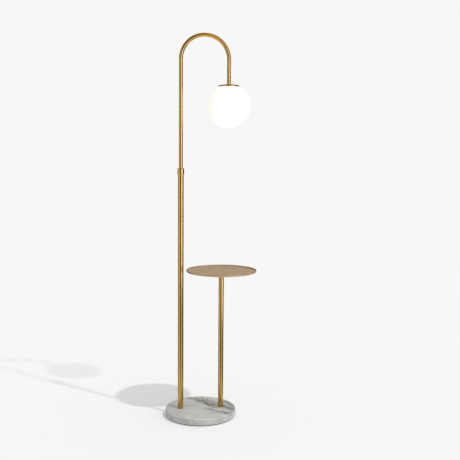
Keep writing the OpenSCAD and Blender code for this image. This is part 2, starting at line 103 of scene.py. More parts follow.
class LampShape(bpy.types.PropertyGroup):
    """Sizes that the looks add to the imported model."""

    tube_wall: FloatProperty(
        name="Tube wall", description="Wall of the brass tubes", default=1.2 * MM, unit="LENGTH"
    )
    tube_edge: FloatProperty(
        name="Tube edge", description="Rounding of the tubes' cut ends", default=0.35 * MM, unit="LENGTH"
    )
    marble_edge: FloatProperty(
        name="Marble edge", description="Rounding of the marble's edges", default=2.4 * MM, unit="LENGTH"
    )
    tray_metal: FloatProperty(
        name="Tray metal", description="Thickness of the tray's metal", default=2 * MM, unit="LENGTH"
    )
    tray_bend: FloatProperty(
        name="Tray bend", description="Outer radius of the bend under the tray's rim",
        default=3.5 * MM, unit="LENGTH",
    )
    collar_edge: FloatProperty(
        name="Collar edge", description="Rounding of the locking collar", default=3 * MM, unit="LENGTH"
    )
    collar_lip: FloatProperty(
        name="Collar lip", description="Thickness of the collar's top lip", default=3 * MM, unit="LENGTH"
    )
    cap_metal: FloatProperty(
        name="Cap metal", description="Thickness of the spun cap", default=1.2 * MM, unit="LENGTH"
    )
    cap_dome: FloatProperty(
        name="Cap dome", description="Height of the cap's dome", default=7.5 * MM, unit="LENGTH"
    )
    cap_seat: FloatProperty(
        name="Cap seat", description="Radius of the flat seat on the cap", default=9.5 * MM, unit="LENGTH"
    )
    glass_wall: FloatProperty(
        name="Glass wall", description="Thickness of the opal glass", default=3 * MM, unit="LENGTH"
    )
    spring_metal: FloatProperty(
        name="Spring metal", description="Thickness of the globe's spring arms",
        default=0.8 * MM, unit="LENGTH",
    )
    spring_width: FloatProperty(
        name="Spring width", description="Width of the globe's spring arms",
        default=9 * MM, unit="LENGTH",
    )
    spring_count: IntProperty(
        name="Spring arms", description="Number of arms that hold the globe", default=3, min=3, max=6
    )
    rib_count: IntProperty(
        name="Grip ribs", description="Number of ribs round the lampholder's skirt",
        default=24, min=8, max=60,
    )


class LampFinish(bpy.types.PropertyGroup):
    """Colours and surface qualities of the lamp."""

    brass: FloatVectorProperty(
        name="Brass", description="Colour of the brushed brass tubes",
        default=(0.57, 0.335, 0.082), min=0, max=1, subtype="COLOR", size=3,
    )
    brass_shadow: FloatVectorProperty(
        name="Brass patina", description="Darker tone in the brass",
        default=(0.46, 0.255, 0.055), min=0, max=1, subtype="COLOR", size=3,
    )
    brass_roughness: FloatProperty(
        name="Brass roughness", description="Roughness of the brushed brass",
        default=0.15, min=0, max=1, subtype="FACTOR",
    )
    tray: FloatVectorProperty(
        name="Tray lacquer", description="Colour of the tray's satin bronze lacquer",
        default=(0.475, 0.345, 0.23), min=0, max=1, subtype="COLOR", size=3,
    )
    # Painted highlight: a lighter colour along the tray's rim, for the studio light that the rim's bend
    # catches
    tray_rim_highlight: FloatVectorProperty(
        name="Tray rim", description="Brighter metal along the tray's rim",
        default=(0.5, 0.345, 0.165), min=0, max=1, subtype="COLOR", size=3,
    )
    marble: FloatVectorProperty(
        name="Marble", description="Pale ground of the marble",
        default=(0.545, 0.565, 0.548), min=0, max=1, subtype="COLOR", size=3,
    )
    marble_cloud: FloatVectorProperty(
        name="Marble clouds", description="Soft darker bands in the marble",
        default=(0.36, 0.37, 0.352), min=0, max=1, subtype="COLOR", size=3,
    )
    marble_vein: FloatVectorProperty(
        name="Marble veins", description="Dark veins in the marble",
        default=(0.075, 0.062, 0.054), min=0, max=1, subtype="COLOR", size=3,
    )
    glow: FloatVectorProperty(
        name="Glow", description="Colour of the lit globe",
        default=(1.0, 0.975, 0.9), min=0, max=1, subtype="COLOR", size=3,
    )
    glow_strength: FloatProperty(
        name="Glow strength", description="How strongly the globe glows", default=0.73, min=0, max=5
    )


class LampStage(bpy.types.PropertyGroup):
    """Camera, floor and light."""

    camera_turn: FloatProperty(
        name="Camera turn", description="How far the camera looks round from +Y towards +X",
        default=math.radians(7.95), subtype="ANGLE",
    )
    camera_pitch: FloatProperty(
        name="Camera pitch", description="How far the camera looks down",
        default=math.radians(6.03), subtype="ANGLE",
    )
    camera_roll: FloatProperty(
        name="Camera roll", description="How far the picture is turned clockwise",
        default=math.radians(0.45), subtype="ANGLE",
    )
    camera_distance: FloatProperty(
        name="Camera distance", description="Level distance from the base's centre",
        default=3.1724, unit="LENGTH",
    )
    camera_height: FloatProperty(
        name="Camera height", description="Height above the floor", default=1.1145, unit="LENGTH"
    )
    camera_aside: FloatProperty(
        name="Camera aside", description="How far the camera stands to its right",
        default=0.1178, unit="LENGTH",
    )
    focal_pixels: FloatProperty(
        name="Focal length", description="Focal length in pixels of the picture", default=778.6
    )
    white: FloatProperty(
        name="White", description="Brightness of the floor and the background", default=0.93, min=0, max=1
    )
    floor_tone: FloatProperty(
        name="Floor tone", description="How much light the floor gives back", default=0.8, min=0, max=1
    )
    fill: FloatProperty(
        name="Fill light", description="Soft light from all sides", default=0.68, min=0, max=2
    )
    overhead: FloatProperty(
        name="Overhead light", description="Brightness overhead, as gloss shows it",
        default=1.3, min=0, max=4,
    )
    underfoot: FloatProperty(
        name="Floor gleam", description="Brightness of the floor, as gloss shows it",
        default=1.1, min=0, max=4,
    )
    key_place: FloatVectorProperty(
        name="Key lamps", description="Place of the two small key lamps",
        default=(1.84, -1.836, 4.57), subtype="TRANSLATION", size=3, unit="LENGTH",
    )
    key_through_head: FloatProperty(
        name="Key through the head",
        description="Share of the key light that passes the head and the tall tubes",
        default=0.54, min=0, max=1, subtype="FACTOR",
    )
    key_radius: FloatProperty(
        name="Key lamp radius", description="Radius of the key lamps", default=0.08, unit="LENGTH"
    )
    key_level: FloatProperty(
        name="Key level",
        description="Light of the key lamps on the floor, where 1 shows a colour as written",
        default=0.325, min=0, max=2,
    )


# Meshes


def new_object(name, data):
    """Puts a new object in the scene."""
    obj = bpy.data.objects.new(name, data)
    bpy.context.scene.collection.objects.link(obj)
    return obj


def rounded(corners, steps=6):
    """Closed outline through (radius, height, rounding) corners, with an arc at each rounding."""
    outline = []
    for index, (radius, height, rounding) in enumerate(corners):
        corner = Vector((radius, height))
        if rounding == 0:
            outline.append(corner)
            continue
        back = (Vector(corners[index - 1][:2]) - corner).normalized()
        ahead = (Vector(corners[(index + 1) % len(corners)][:2]) - corner).normalized()
        half = back.angle(ahead) / 2
        centre = corner + (back + ahead).normalized() * rounding / math.sin(half)
        start = corner + back * rounding / math.tan(half) - centre
        end = corner + ahead * rounding / math.tan(half) - centre
        turn = math.atan2(start.cross(end), start.dot(end))
        outline += [centre + Matrix.Rotation(turn * k / steps, 2) @ start for k in range(steps + 1)]
    return outline


def arc(radius, centre, start, end, steps):
    """Points of a circle round (0, centre), by the angle from its lowest point."""
    angles = [start + (end - start) * k / steps for k in range(steps + 1)]
    return [(radius * math.sin(a), centre - radius * math.cos(a)) for a in angles]


def drum(radius, low, high):
    """Outline of a plain cylinder."""
    return [(0, low), (radius, low), (radius, high), (0, high)]


def skin(bm, rings, closed=False, ends=False):
    """Joins each ring of points to the next with faces. A ring may be a single point. A closed row
    joins its last ring to the first, and ends gives each end a face."""
    for low, high in zip(rings, rings[1:] + rings[:1] if closed else rings[1:]):
        count = max(len(low), len(high))
        for i in range(count if count > 1 else 0):
            j = (i + 1) % count
            corners = [low[i % len(low)], low[j % len(low)], high[j % len(high)], high[i % len(high)]]
            bm.faces.new(list(dict.fromkeys(corners)))
    if ends:
        bm.faces.new(rings[0])
        bm.faces.new(list(reversed(rings[-1])))
    bmesh.ops.recalc_face_normals(bm, faces=bm.faces)
    return bm


def turned(outline, x=0.0, y=0.0, segments=96):
    """Mesh of a closed (radius, height) outline turned about an upright axis. The attribute
    "grain" holds the place on the unit circle and the run along the outline."""
    on_axis = 0.0001 * MM
    bm = bmesh.new()
    grain = bm.verts.layers.float_vector.new("grain")
    directions = [
        (math.cos(math.tau * i / segments), math.sin(math.tau * i / segments)) for i in range(segments)
    ]
    rings, run, before = [], 0.0, outline[0]
    for point in outline:
        run += (Vector(point) - Vector(before)).length
        before = point
        radius, height = point
        ring = []
        for c, s in directions if radius > on_axis else directions[:1]:
            vert = bm.verts.new((x + radius * c, y + radius * s, height))
            vert[grain] = (c, s, run)
            ring.append(vert)
        rings.append(ring)
    return skin(bm, rings, closed=True)


def steps_along(path):
    """Direction of a path at each of its points."""
    return [(b - a).normalized() for a, b in zip(path[:1] + path[:-1], path[1:] + path[-1:])]


def block(low, high):
    """Mesh of an upright box between two corners."""
    bm = bmesh.new()
    bmesh.ops.create_cube(bm, size=1)
    low, high = Vector(low), Vector(high)
    for vert in bm.verts:
        vert.co = Vector([(a + b) / 2 + (b - a) * c for a, b, c in zip(low, high, vert.co)])
    return bm


def grip_rib(root, crest, low, high, half_width, edge):
    """Mesh of an upright rib with eased edges, between two radii and two heights."""
    rib = block((root, -half_width, low), (crest, half_width, high))
    bmesh.ops.bevel(rib, geom=rib.edges[:], offset=edge, segments=2, affect="EDGES")
    return rib


def lay_along_y(mesh, y, z):
    """Turns a mesh made about the upright axis so that its axis runs along +Y at height z."""
    mesh.transform(Matrix.Translation((0, y, z)) @ Matrix.Rotation(-math.pi / 2, 4, "X"))
    return mesh


def to_mesh(bm, name):
    """Mesh data made of an edit mesh, which is let go."""
    mesh = bpy.data.meshes.new(name)
    bm.to_mesh(mesh)
    bm.free()
    return mesh


def settle_modifiers(obj):
    """Puts the evaluated mesh in the object and takes its modifiers off."""
    depsgraph = bpy.context.evaluated_depsgraph_get()
    result = bpy.data.meshes.new_from_object(
        obj.evaluated_get(depsgraph), preserve_all_data_layers=True, depsgraph=depsgraph
    )
    obj.modifiers.clear()
    obj.data = result


def cut_away(obj, cutters):
    """Takes each cutter mesh out of the object."""
    for bm in cutters:
        cutter = new_object("cutter", to_mesh(bm, "cutter"))
        modifier = obj.modifiers.new("cut", "BOOLEAN")
        modifier.operation = "DIFFERENCE"
        modifier.solver = "EXACT"
        modifier.object = cutter
        settle_modifiers(obj)
        bpy.data.objects.remove(cutter)


def finish_piece(obj, node, sharp=35.0):
    """Gives a new piece its material, and ties it to the body of the CAD node it stands for."""
    material = finish_for(SLOT_OF[node])
    obj.data.materials.clear()
    obj.data.materials.append(material)
    obj.data.shade_smooth()
    obj.data.set_sharp_from_angle(angle=math.radians(sharp))
    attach(obj, BODY_OF[node])
    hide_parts(node)
    return obj


def add_piece(name, bm, node, sharp=35.0):
    """Makes a finished piece of a mesh."""
    return finish_piece(new_object(name, to_mesh(bm, name)), node, sharp)


# Node trees


def node(tree, kind, inputs=None, **settings):
    """Adds a node. Inputs are values, or the outputs of other nodes."""
    made = tree.nodes.new(kind)
    for key, value in settings.items():
        setattr(made, key, value)
    for key, value in (inputs or {}).items():
        if isinstance(value, bpy.types.NodeSocket):
            tree.links.new(value, made.inputs[key])
        else:
            made.inputs[key].default_value = value
    return made


def calc(tree, operation, *values):
    """Output of a math node."""
    return node(tree, "ShaderNodeMath", dict(enumerate(values)), operation=operation).outputs[0]


def vector_calc(tree, operation, *values):
    """Output of a vector math node: a number for a length, distance or dot product."""
    made = node(tree, "ShaderNodeVectorMath", dict(enumerate(values)), operation=operation)
    return made.outputs["Value" if operation in ("LENGTH", "DISTANCE", "DOT_PRODUCT") else "Vector"]


def smooth_step(tree, value, start, end, low=0.0, high=1.0):
    """Value taken smoothly from low at start to high at end."""
    return node(
        tree, "ShaderNodeMapRange",
        {"Value": value, "From Min": start, "From Max": end, "To Min": low, "To Max": high},
        interpolation_type="SMOOTHSTEP",
    ).outputs["Result"]


def noise(tree, vector, scale, detail=3.0, roughness=0.5):
    """Outputs of a noise texture."""
    return node(
        tree, "ShaderNodeTexNoise",
        {"Vector": vector, "Scale": scale, "Detail": detail, "Roughness": roughness},
    ).outputs


def height_in(tree, coordinates):
    """Height of the point that the coordinates give."""
    return node(tree, "ShaderNodeSeparateXYZ", {"Vector": coordinates}).outputs["Z"]


def blend_colours(tree, factor, first, second, blend_type="MIX"):
    """Output of a colour mix. The colours are values, or the outputs of other nodes."""
    made = node(tree, "ShaderNodeMix", data_type="RGBA", blend_type=blend_type)
    # Socket 0 of a colour mix is its factor, and sockets 6 and 7 are its colours
    for index, value in ((0, factor), (6, first), (7, second)):
        if isinstance(value, bpy.types.NodeSocket):
            tree.links.new(value, made.inputs[index])
        elif index == 0:
            made.inputs[index].default_value = value
        else:
            made.inputs[index].default_value = (*value, 1.0)
    return made.outputs[2]


# Materials


def new_material(name):
    """A material with its Principled shader and the object's own coordinates."""
    material = bpy.data.materials.new(name + FINISH_ENDING)
    material.use_nodes = True
    tree = material.node_tree
    shader = tree.nodes["Principled BSDF"]
    coordinates = node(tree, "ShaderNodeTexCoord").outputs["Object"]
    return material, tree, shader, coordinates


def link_surface(tree, shader, colour, roughness):
    """Gives the shader a colour and a roughness made by other nodes."""
    tree.links.new(colour, shader.inputs["Base Color"])
    tree.links.new(roughness, shader.inputs["Roughness"])


def add_bump(tree, shader, height, distance, strength):
    """Gives the shader a fine relief."""
    bump = node(
        tree, "ShaderNodeBump", {"Height": height, "Distance": distance, "Strength": strength}
    ).outputs["Normal"]
    tree.links.new(bump, shader.inputs["Normal"])


def brass_material(name, roughness, grain_scale, grain_depth):
    """Lacquered brass. Its grain runs along or round the piece, by the scale of its lines, and is
    as deep as in brushed brass where the depth is 1."""
    finish = bpy.context.scene.lamp_finish
    material, tree, shader, coordinates = new_material(name)
    shader.inputs["Metallic"].default_value = 1.0
    grain = node(tree, "ShaderNodeAttribute", attribute_name="grain").outputs["Vector"]
    grain = vector_calc(tree, "MULTIPLY", grain, grain_scale)
    lines = noise(tree, grain, scale=1.0, detail=2.0)["Fac"]
    patina = noise(tree, coordinates, scale=22.0, detail=4.0, roughness=0.6)["Fac"]
    tone = smooth_step(tree, patina, 0.35, 0.75, 0.0, 0.35)
    colour = blend_colours(tree, tone, finish.brass, finish.brass_shadow)
    lined = smooth_step(tree, lines, 0.3, 0.7, 1.0 - 0.1 * grain_depth, 1.0)
    colour = blend_colours(tree, 1.0, colour, lined, "MULTIPLY")
    rough = smooth_step(tree, patina, 0.3, 0.7, roughness - 0.03, roughness + 0.04)
    rough = calc(tree, "ADD", rough, smooth_step(tree, lines, 0.3, 0.7, -0.02, 0.03))
    link_surface(tree, shader, colour, rough)
    shader.inputs["Coat Weight"].default_value = 0.2
    shader.inputs["Coat Roughness"].default_value = 0.1
    add_bump(tree, shader, lines, distance=0.004 * MM * grain_depth, strength=0.5)
    return material


def brushed_brass(name):
    """Brass tube, brushed lengthwise."""
    roughness = bpy.context.scene.lamp_finish.brass_roughness
    return brass_material(name, roughness, grain_scale=(70.0, 70.0, 25.0), grain_depth=1.0)


def polished_brass(name):
    """Brass turned and polished, with faint rings."""
    return brass_material(name, roughness=0.07, grain_scale=(1.5, 1.5, 3200.0), grain_depth=0.3)


def tray_finish(name):
    """Satin bronze lacquer over metal: fine sparkle, a slightly uneven sheen, and a painted highlight
    along the rim.
    """
    finish = bpy.context.scene.lamp_finish
    material, tree, shader, coordinates = new_material(name)
    flake = noise(tree, coordinates, scale=2600.0, detail=2.0, roughness=0.7)["Fac"]
    cloud = noise(tree, coordinates, scale=16.0)["Fac"]
    dark = tuple(0.84 * c for c in finish.tray)
    sparkle = (0.6, 0.47, 0.33)
    colour = blend_colours(tree, smooth_step(tree, cloud, 0.3, 0.7, 0.0, 0.35), finish.tray, dark)
    colour = blend_colours(tree, smooth_step(tree, flake, 0.45, 0.75, 0.0, 0.3), colour, sparkle)
    # Painted highlight: the colour turns lighter over the last few millimetres of the rim
    pan = upright("tray_pan")
    from_axis = vector_calc(tree, "SUBTRACT", coordinates, (pan.x, pan.y, 0.0))
    from_axis = vector_calc(tree, "MULTIPLY", from_axis, (1.0, 1.0, 0.0))
    from_axis = vector_calc(tree, "LENGTH", from_axis)
    rim = smooth_step(tree, from_axis, pan.radius - 2.2 * MM, pan.radius - 0.6 * MM)
    colour = blend_colours(tree, rim, colour, finish.tray_rim_highlight)
    shader.inputs["Metallic"].default_value = 0.3
    shader.inputs["Specular IOR Level"].default_value = 0.3
    link_surface(tree, shader, colour, smooth_step(tree, cloud, 0.3, 0.7, 0.46, 0.54))
    add_bump(tree, shader, flake, distance=0.03 * MM, strength=0.35)
    return material


# Veins of the marble's top: start and end, from the base's centre, and half width, all in
# millimetres, and how dark they are
VEINS = (
    ((20, 146), (24, 64), 4.0, 0.75),
    ((24, 64), (35, 25), 4.5, 0.9),
    ((35, 25), (61, -10), 5.5, 1.0),
    ((61, -10), (97, 9), 5.0, 0.9),
    ((97, 9), (124, -30), 6.5, 1.0),
    ((124, -30), (146, -44), 8.0, 1.0),
    ((102, 92), (125, 34), 4.0, 0.85),
    ((125, 34), (137, -6), 4.5, 0.9),
    ((34, 84), (55, 61), 4.5, 0.8),
    ((55, 61), (80, 30), 5.0, 0.85),
    ((-2, 94), (7, 49), 4.0, 0.55),
    ((84, -56), (99, -87), 6.0, 0.7),
)
# Broad patches in which a net of fine dark lines shows, in the same form
NETS = (
    ((0, 118), (46, 22), 34.0, 0.85),
    ((34, 92), (84, 26), 32.0, 1.0),
    ((98, 4), (136, -52), 36.0, 1.0),
    ((104, 66), (134, 8), 26.0, 0.8),
    ((30, -20), (84, -84), 30.0, 0.75),
    ((84, -70), (118, -92), 32.0, 1.0),
)
# Soft darker bands across the base, in the same form
BANDS = (
    ((-140, 62), (-88, 28), 26.0, 0.6),
    ((-84, -8), (-4, -5), 7.0, 0.55),
    ((-4, -5), (60, -46), 7.0, 0.45),
    ((-38, 119), (-3, 104), 6.0, 0.5),
    ((-140, -30), (-70, -130), 15.0, 0.5),
    ((-146, 10), (-20, -100), 6.0, 0.45),
    ((-60, -150), (-20, -90), 9.0, 0.4),
    ((-152, 12), (-139, -44), 12.0, 0.7),
)


def strand_group():
    """Node group: how strongly a point lies in a soft strand between two ends."""
    tree = bpy.data.node_groups.new("marble_strand", "ShaderNodeTree")
    for name, kind in (
        ("Point", "NodeSocketVector"), ("Start", "NodeSocketVector"), ("Along", "NodeSocketVector"),
        ("Width", "NodeSocketFloat"), ("Strength", "NodeSocketFloat"),
    ):
        tree.interface.new_socket(name=name, in_out="INPUT", socket_type=kind)
    tree.interface.new_socket(name="Strand", in_out="OUTPUT", socket_type="NodeSocketFloat")
    given = node(tree, "NodeGroupInput").outputs
    offset = vector_calc(tree, "SUBTRACT", given["Point"], given["Start"])
    share = calc(
        tree, "DIVIDE", vector_calc(tree, "DOT_PRODUCT", offset, given["Along"]),
        vector_calc(tree, "DOT_PRODUCT", given["Along"], given["Along"]),
    )
    share = node(tree, "ShaderNodeClamp", {"Value": share}).outputs[0]
    scaled = node(tree, "ShaderNodeVectorMath", {0: given["Along"], "Scale": share}, operation="SCALE")
    distance = vector_calc(tree, "LENGTH", vector_calc(tree, "SUBTRACT", offset, scaled.outputs["Vector"]))
    strand = smooth_step(tree, distance, 0.0, given["Width"], 1.0, 0.0)
    strand = calc(tree, "MULTIPLY", strand, given["Strength"])
    node(tree, "NodeGroupOutput", {"Strand": strand})
    return tree


def strands(tree, group, point, rows):
    """The strongest of a list of strands."""
    strongest = None
    for start, end, width, strength in rows:
        along = (Vector(end) - Vector(start)) * MM
        made = node(tree, "ShaderNodeGroup", node_tree=group)
        tree.links.new(point, made.inputs["Point"])
        made.inputs["Start"].default_value = (start[0] * MM, start[1] * MM, 0.0)
        made.inputs["Along"].default_value = (along.x, along.y, 0.0)
        made.inputs["Width"].default_value = width * MM
        made.inputs["Strength"].default_value = strength
        strand = made.outputs["Strand"]
        strongest = strand if strongest is None else calc(tree, "MAXIMUM", strongest, strand)
    return strongest


def marble(name):
    """Honed pale grey marble: soft clouds and bands, dark broken veins round the tray post, and a painted
    highlight along the top edge.
    """
    finish = bpy.context.scene.lamp_finish
    material, tree, shader, coordinates = new_material(name)
    flat = vector_calc(tree, "MULTIPLY", coordinates, (1.0, 1.0, 0.0))
    leaning = vector_calc(tree, "MULTIPLY", coordinates, (1.0, 1.0, 1.8))

    def warp(vector, scale, reach, detail):
        """Shifts a point at its own height, by up to half the reach."""
        shift = noise(tree, leaning, scale, detail)["Color"]
        shift = vector_calc(tree, "SUBTRACT", shift, (0.5, 0.5, 0.5))
        shift = vector_calc(tree, "MULTIPLY", shift, (reach, reach, 0.0))
        return vector_calc(tree, "ADD", vector, shift)

    def drawn_out(vector, turn, narrowing):
        """Turns the point and squeezes it across, for a pattern drawn out one way."""
        settings = {"Rotation": (0.0, 0.0, math.radians(turn)), "Scale": (1.0, narrowing, 1.0)}
        return node(tree, "ShaderNodeMapping", {"Vector": vector, **settings}).outputs["Vector"]

    disc = upright("marble_base")
    height = height_in(tree, coordinates)
    group = strand_group()
    wandering = warp(flat, scale=16.0, reach=20 * MM, detail=3.0)
    wandering = warp(wandering, scale=90.0, reach=14 * MM, detail=5.0)
    veins = strands(tree, group, wandering, VEINS)
    nets = strands(tree, group, warp(flat, scale=30.0, reach=50 * MM, detail=4.0), NETS)
    near_top = smooth_step(tree, height, disc.top - 14 * MM, disc.top, 0.15, 1.0)
    nets = calc(tree, "MULTIPLY", nets, near_top)
    bands = strands(tree, group, warp(flat, scale=11.0, reach=40 * MM, detail=2.0), BANDS)

    crackle = noise(tree, leaning, scale=210.0, detail=5.0, roughness=0.7)["Fac"]
    patches = noise(tree, leaning, scale=60.0, roughness=0.6)["Fac"]
    frayed = warp(leaning, scale=40.0, reach=30 * MM, detail=4.0)
    frayed = warp(frayed, scale=200.0, reach=6 * MM, detail=3.0)
    cells = node(
        tree, "ShaderNodeTexVoronoi",
        {"Vector": drawn_out(frayed, turn=50, narrowing=1.8), "Scale": 62.0},
        feature="DISTANCE_TO_EDGE",
    ).outputs["Distance"]
    lines = smooth_step(tree, cells, 0.04, 0.2, 0.95, 0.0)
    lines = calc(tree, "MULTIPLY", lines, smooth_step(tree, patches, 0.36, 0.5))
    grains = smooth_step(tree, crackle, 0.38, 0.52, 0.35, 1.0)
    core = calc(tree, "MULTIPLY", smooth_step(tree, veins, 0.15, 0.55), grains)
    core = calc(tree, "MAXIMUM", core, calc(tree, "MULTIPLY", nets, lines))
    halo = smooth_step(tree, patches, 0.35, 0.62, 0.12, 0.5)
    halo = calc(tree, "MULTIPLY", calc(tree, "MAXIMUM", veins, nets), halo)
    veins = calc(tree, "MAXIMUM", core, halo)

    leaning_clouds = drawn_out(leaning, turn=-48, narrowing=3.2)
    clouds = noise(tree, leaning_clouds, scale=9.0, detail=5.0, roughness=0.55)["Fac"]
    clouds = calc(tree, "MAXIMUM", smooth_step(tree, clouds, 0.4, 0.75, 0.0, 0.7), bands)
    crystal = noise(tree, coordinates, scale=900.0, detail=2.0)["Fac"]
    crystal_white, painted_arris_colour = (0.75, 0.76, 0.74), (0.85, 0.86, 0.84)
    colour = blend_colours(tree, clouds, finish.marble, finish.marble_cloud)
    glint = smooth_step(tree, crystal, 0.35, 0.75, 0.0, 0.12)
    colour = blend_colours(tree, glint, colour, crystal_white)
    colour = blend_colours(tree, calc(tree, "MULTIPLY", veins, 0.9), colour, finish.marble_vein)
    # Painted highlight: a pale line along the rounded top edge, where the key light gleams on the arris
    from_axis = vector_calc(tree, "LENGTH", flat)
    painted_arris_highlight = smooth_step(tree, from_axis, disc.radius - 2 * MM, disc.radius - 0.8 * MM, 0.0, 0.45)
    at_edge = smooth_step(tree, height, disc.top - 2.8 * MM, disc.top - MM)
    colour = blend_colours(tree, calc(tree, "MULTIPLY", painted_arris_highlight, at_edge), colour, painted_arris_colour)
    link_surface(tree, shader, colour, smooth_step(tree, crackle, 0.3, 0.7, 0.3, 0.4))
    shader.inputs["Specular IOR Level"].default_value = 0.35
    relief = calc(tree, "SUBTRACT", crystal, veins)
    add_bump(tree, shader, relief, distance=0.05 * MM, strength=0.4)
    return material


def opal_glass(name):
    """White opal glass, lit from within, with painted shade of the lampholder: a little dimmer round its
    mouth.
    """
    finish = bpy.context.scene.lamp_finish
    globe = upright("glass_globe")
    painted_shade_zone = 45 * MM
    grey, pale, warm = (0.42, 0.415, 0.4), (0.46, 0.455, 0.445), (1.0, 0.97, 0.9)
    material, tree, shader, coordinates = new_material(name)
    swirl = noise(tree, coordinates, scale=14.0, detail=2.0)["Fac"]
    colour = blend_colours(tree, smooth_step(tree, swirl, 0.3, 0.7, 0.0, 0.5), grey, pale)
    link_surface(tree, shader, colour, smooth_step(tree, swirl, 0.3, 0.7, 0.2, 0.26))
    # Painted shade: the glow dims towards the mouth, where the lampholder stands over the bulb
    glow = smooth_step(
        tree, height_in(tree, coordinates), globe.top - painted_shade_zone, globe.top,
        finish.glow_strength, 0.86 * finish.glow_strength,
    )
    tree.links.new(glow, shader.inputs["Emission Strength"])
    tint = blend_colours(tree, smooth_step(tree, swirl, 0.3, 0.7, 0.0, 0.4), finish.glow, warm)
    tree.links.new(tint, shader.inputs["Emission Color"])
    add_bump(tree, shader, swirl, distance=0.2 * MM, strength=0.2)
    return material


def bulb_diffuser(name):
    """Frosted bulb dome, lit, a little dimmer towards its neck."""
    finish = bpy.context.scene.lamp_finish
    dome = upright("bulb_dome")
    cream, white = (0.7, 0.68, 0.62), (0.76, 0.74, 0.7)
    material, tree, shader, coordinates = new_material(name)
    frost = noise(tree, coordinates, scale=700.0)["Fac"]
    colour = blend_colours(tree, smooth_step(tree, frost, 0.35, 0.7), cream, white)
    link_surface(tree, shader, colour, smooth_step(tree, frost, 0.3, 0.7, 0.3, 0.4))
    glow = smooth_step(tree, height_in(tree, coordinates), dome.foot, dome.top, 1.0, 0.45)
    tree.links.new(glow, shader.inputs["Emission Strength"])
    shader.inputs["Emission Color"].default_value = (*finish.glow, 1.0)
    add_bump(tree, shader, frost, distance=0.03 * MM, strength=0.3)
    return material


PlainFinish = namedtuple("PlainFinish", "light dark metallic rough speck_scale relief_mm")
PLAIN_FINISHES = {
    "foam_pad": PlainFinish((0.035, 0.035, 0.037), (0.012, 0.012, 0.013), 0.0, 0.85, 650.0, 0.12),
    "zinc_steel": PlainFinish((0.66, 0.67, 0.68), (0.48, 0.49, 0.5), 1.0, 0.32, 180.0, 0.01),
    "machined_brass": PlainFinish((0.62, 0.45, 0.19), (0.5, 0.34, 0.12), 1.0, 0.26, 240.0, 0.01),
    "nylon": PlainFinish((0.8, 0.79, 0.73), (0.72, 0.71, 0.64), 0.0, 0.45, 300.0, 0.01),
    "black_plastic": PlainFinish((0.03, 0.029, 0.028), (0.014, 0.014, 0.014), 0.0, 0.38, 900.0, 0.02),
    "white_plastic": PlainFinish((0.84, 0.83, 0.79), (0.77, 0.76, 0.71), 0.0, 0.4, 700.0, 0.01),
    "lead_sheath": PlainFinish((0.032, 0.031, 0.03), (0.016, 0.016, 0.016), 0.0, 0.55, 500.0, 0.02),
    "silicone": PlainFinish((0.78, 0.78, 0.76), (0.68, 0.68, 0.66), 0.0, 0.6, 400.0, 0.01),
    "spring_steel": PlainFinish((0.56, 0.56, 0.57), (0.38, 0.38, 0.4), 1.0, 0.3, 260.0, 0.01),
    "holder_ceramic": PlainFinish((0.82, 0.8, 0.74), (0.73, 0.7, 0.63), 0.0, 0.65, 420.0, 0.03),
}


def plain_finish(name):
    """A plain finish with fine specks and slow clouds in its colour, gloss and relief."""
    look = PLAIN_FINISHES[name]
    material, tree, shader, coordinates = new_material(name)
    speck = noise(tree, coordinates, look.speck_scale, detail=4.0, roughness=0.6)["Fac"]
    cloud = noise(tree, coordinates, scale=35.0, detail=2.0)["Fac"]
    mixed = calc(tree, "MULTIPLY_ADD", speck, 0.6, calc(tree, "MULTIPLY", cloud, 0.4))
    colour = blend_colours(tree, smooth_step(tree, mixed, 0.35, 0.65), look.light, look.dark)
    rough = smooth_step(tree, mixed, 0.3, 0.7, look.rough - 0.05, look.rough + 0.06)
    link_surface(tree, shader, colour, rough)
    shader.inputs["Metallic"].default_value = look.metallic
    add_bump(tree, shader, speck, distance=look.relief_mm * MM, strength=0.6)
    return material


SPECIAL_FINISHES = {
    "brushed_brass": brushed_brass,
    "polished_brass": polished_brass,
    "tray_finish": tray_finish,
    "marble": marble,
    "opal_glass": opal_glass,
    "bulb_diffuser": bulb_diffuser,
}


def finish_for(slot):
    """The material of a slot, made when it is first asked for."""
    made = bpy.data.materials.get(slot + FINISH_ENDING)
    return made or SPECIAL_FINISHES.get(slot, plain_finish)(slot)


# Geometry node tools


def new_geometry_tree(name, sockets):
    """A geometry node tree with a geometry input and output, and named inputs."""
    tree = bpy.data.node_groups.new(name, "GeometryNodeTree")
    tree.interface.new_socket(name="Geometry", in_out="OUTPUT", socket_type="NodeSocketGeometry")
    tree.interface.new_socket(name="Geometry", in_out="INPUT", socket_type="NodeSocketGeometry")
    for label, kind in sockets:
        tree.interface.new_socket(name=label, in_out="INPUT", socket_type=kind)
    return tree, node(tree, "NodeGroupInput").outputs


def end_tree(tree, geometry, material):
    """Makes copies real meshes, gives them their material and ends the tree."""
    real = node(tree, "GeometryNodeRealizeInstances", {"Geometry": geometry}).outputs[0]
    dressed = node(tree, "GeometryNodeSetMaterial", {"Geometry": real, "Material": material}).outputs[0]
    node(tree, "NodeGroupOutput", {"Geometry": dressed})


def run_tree(obj, tree, values):
    """Runs a geometry node tree on the object and keeps its result as a plain mesh."""
    modifier = obj.modifiers.new(tree.name, "NODES")
    modifier.node_group = tree
    for item in tree.interface.items_tree:
        if item.item_type == "SOCKET" and item.in_out == "INPUT" and item.name in values:
            modifier[item.identifier] = values[item.name]
    settle_modifiers(obj)


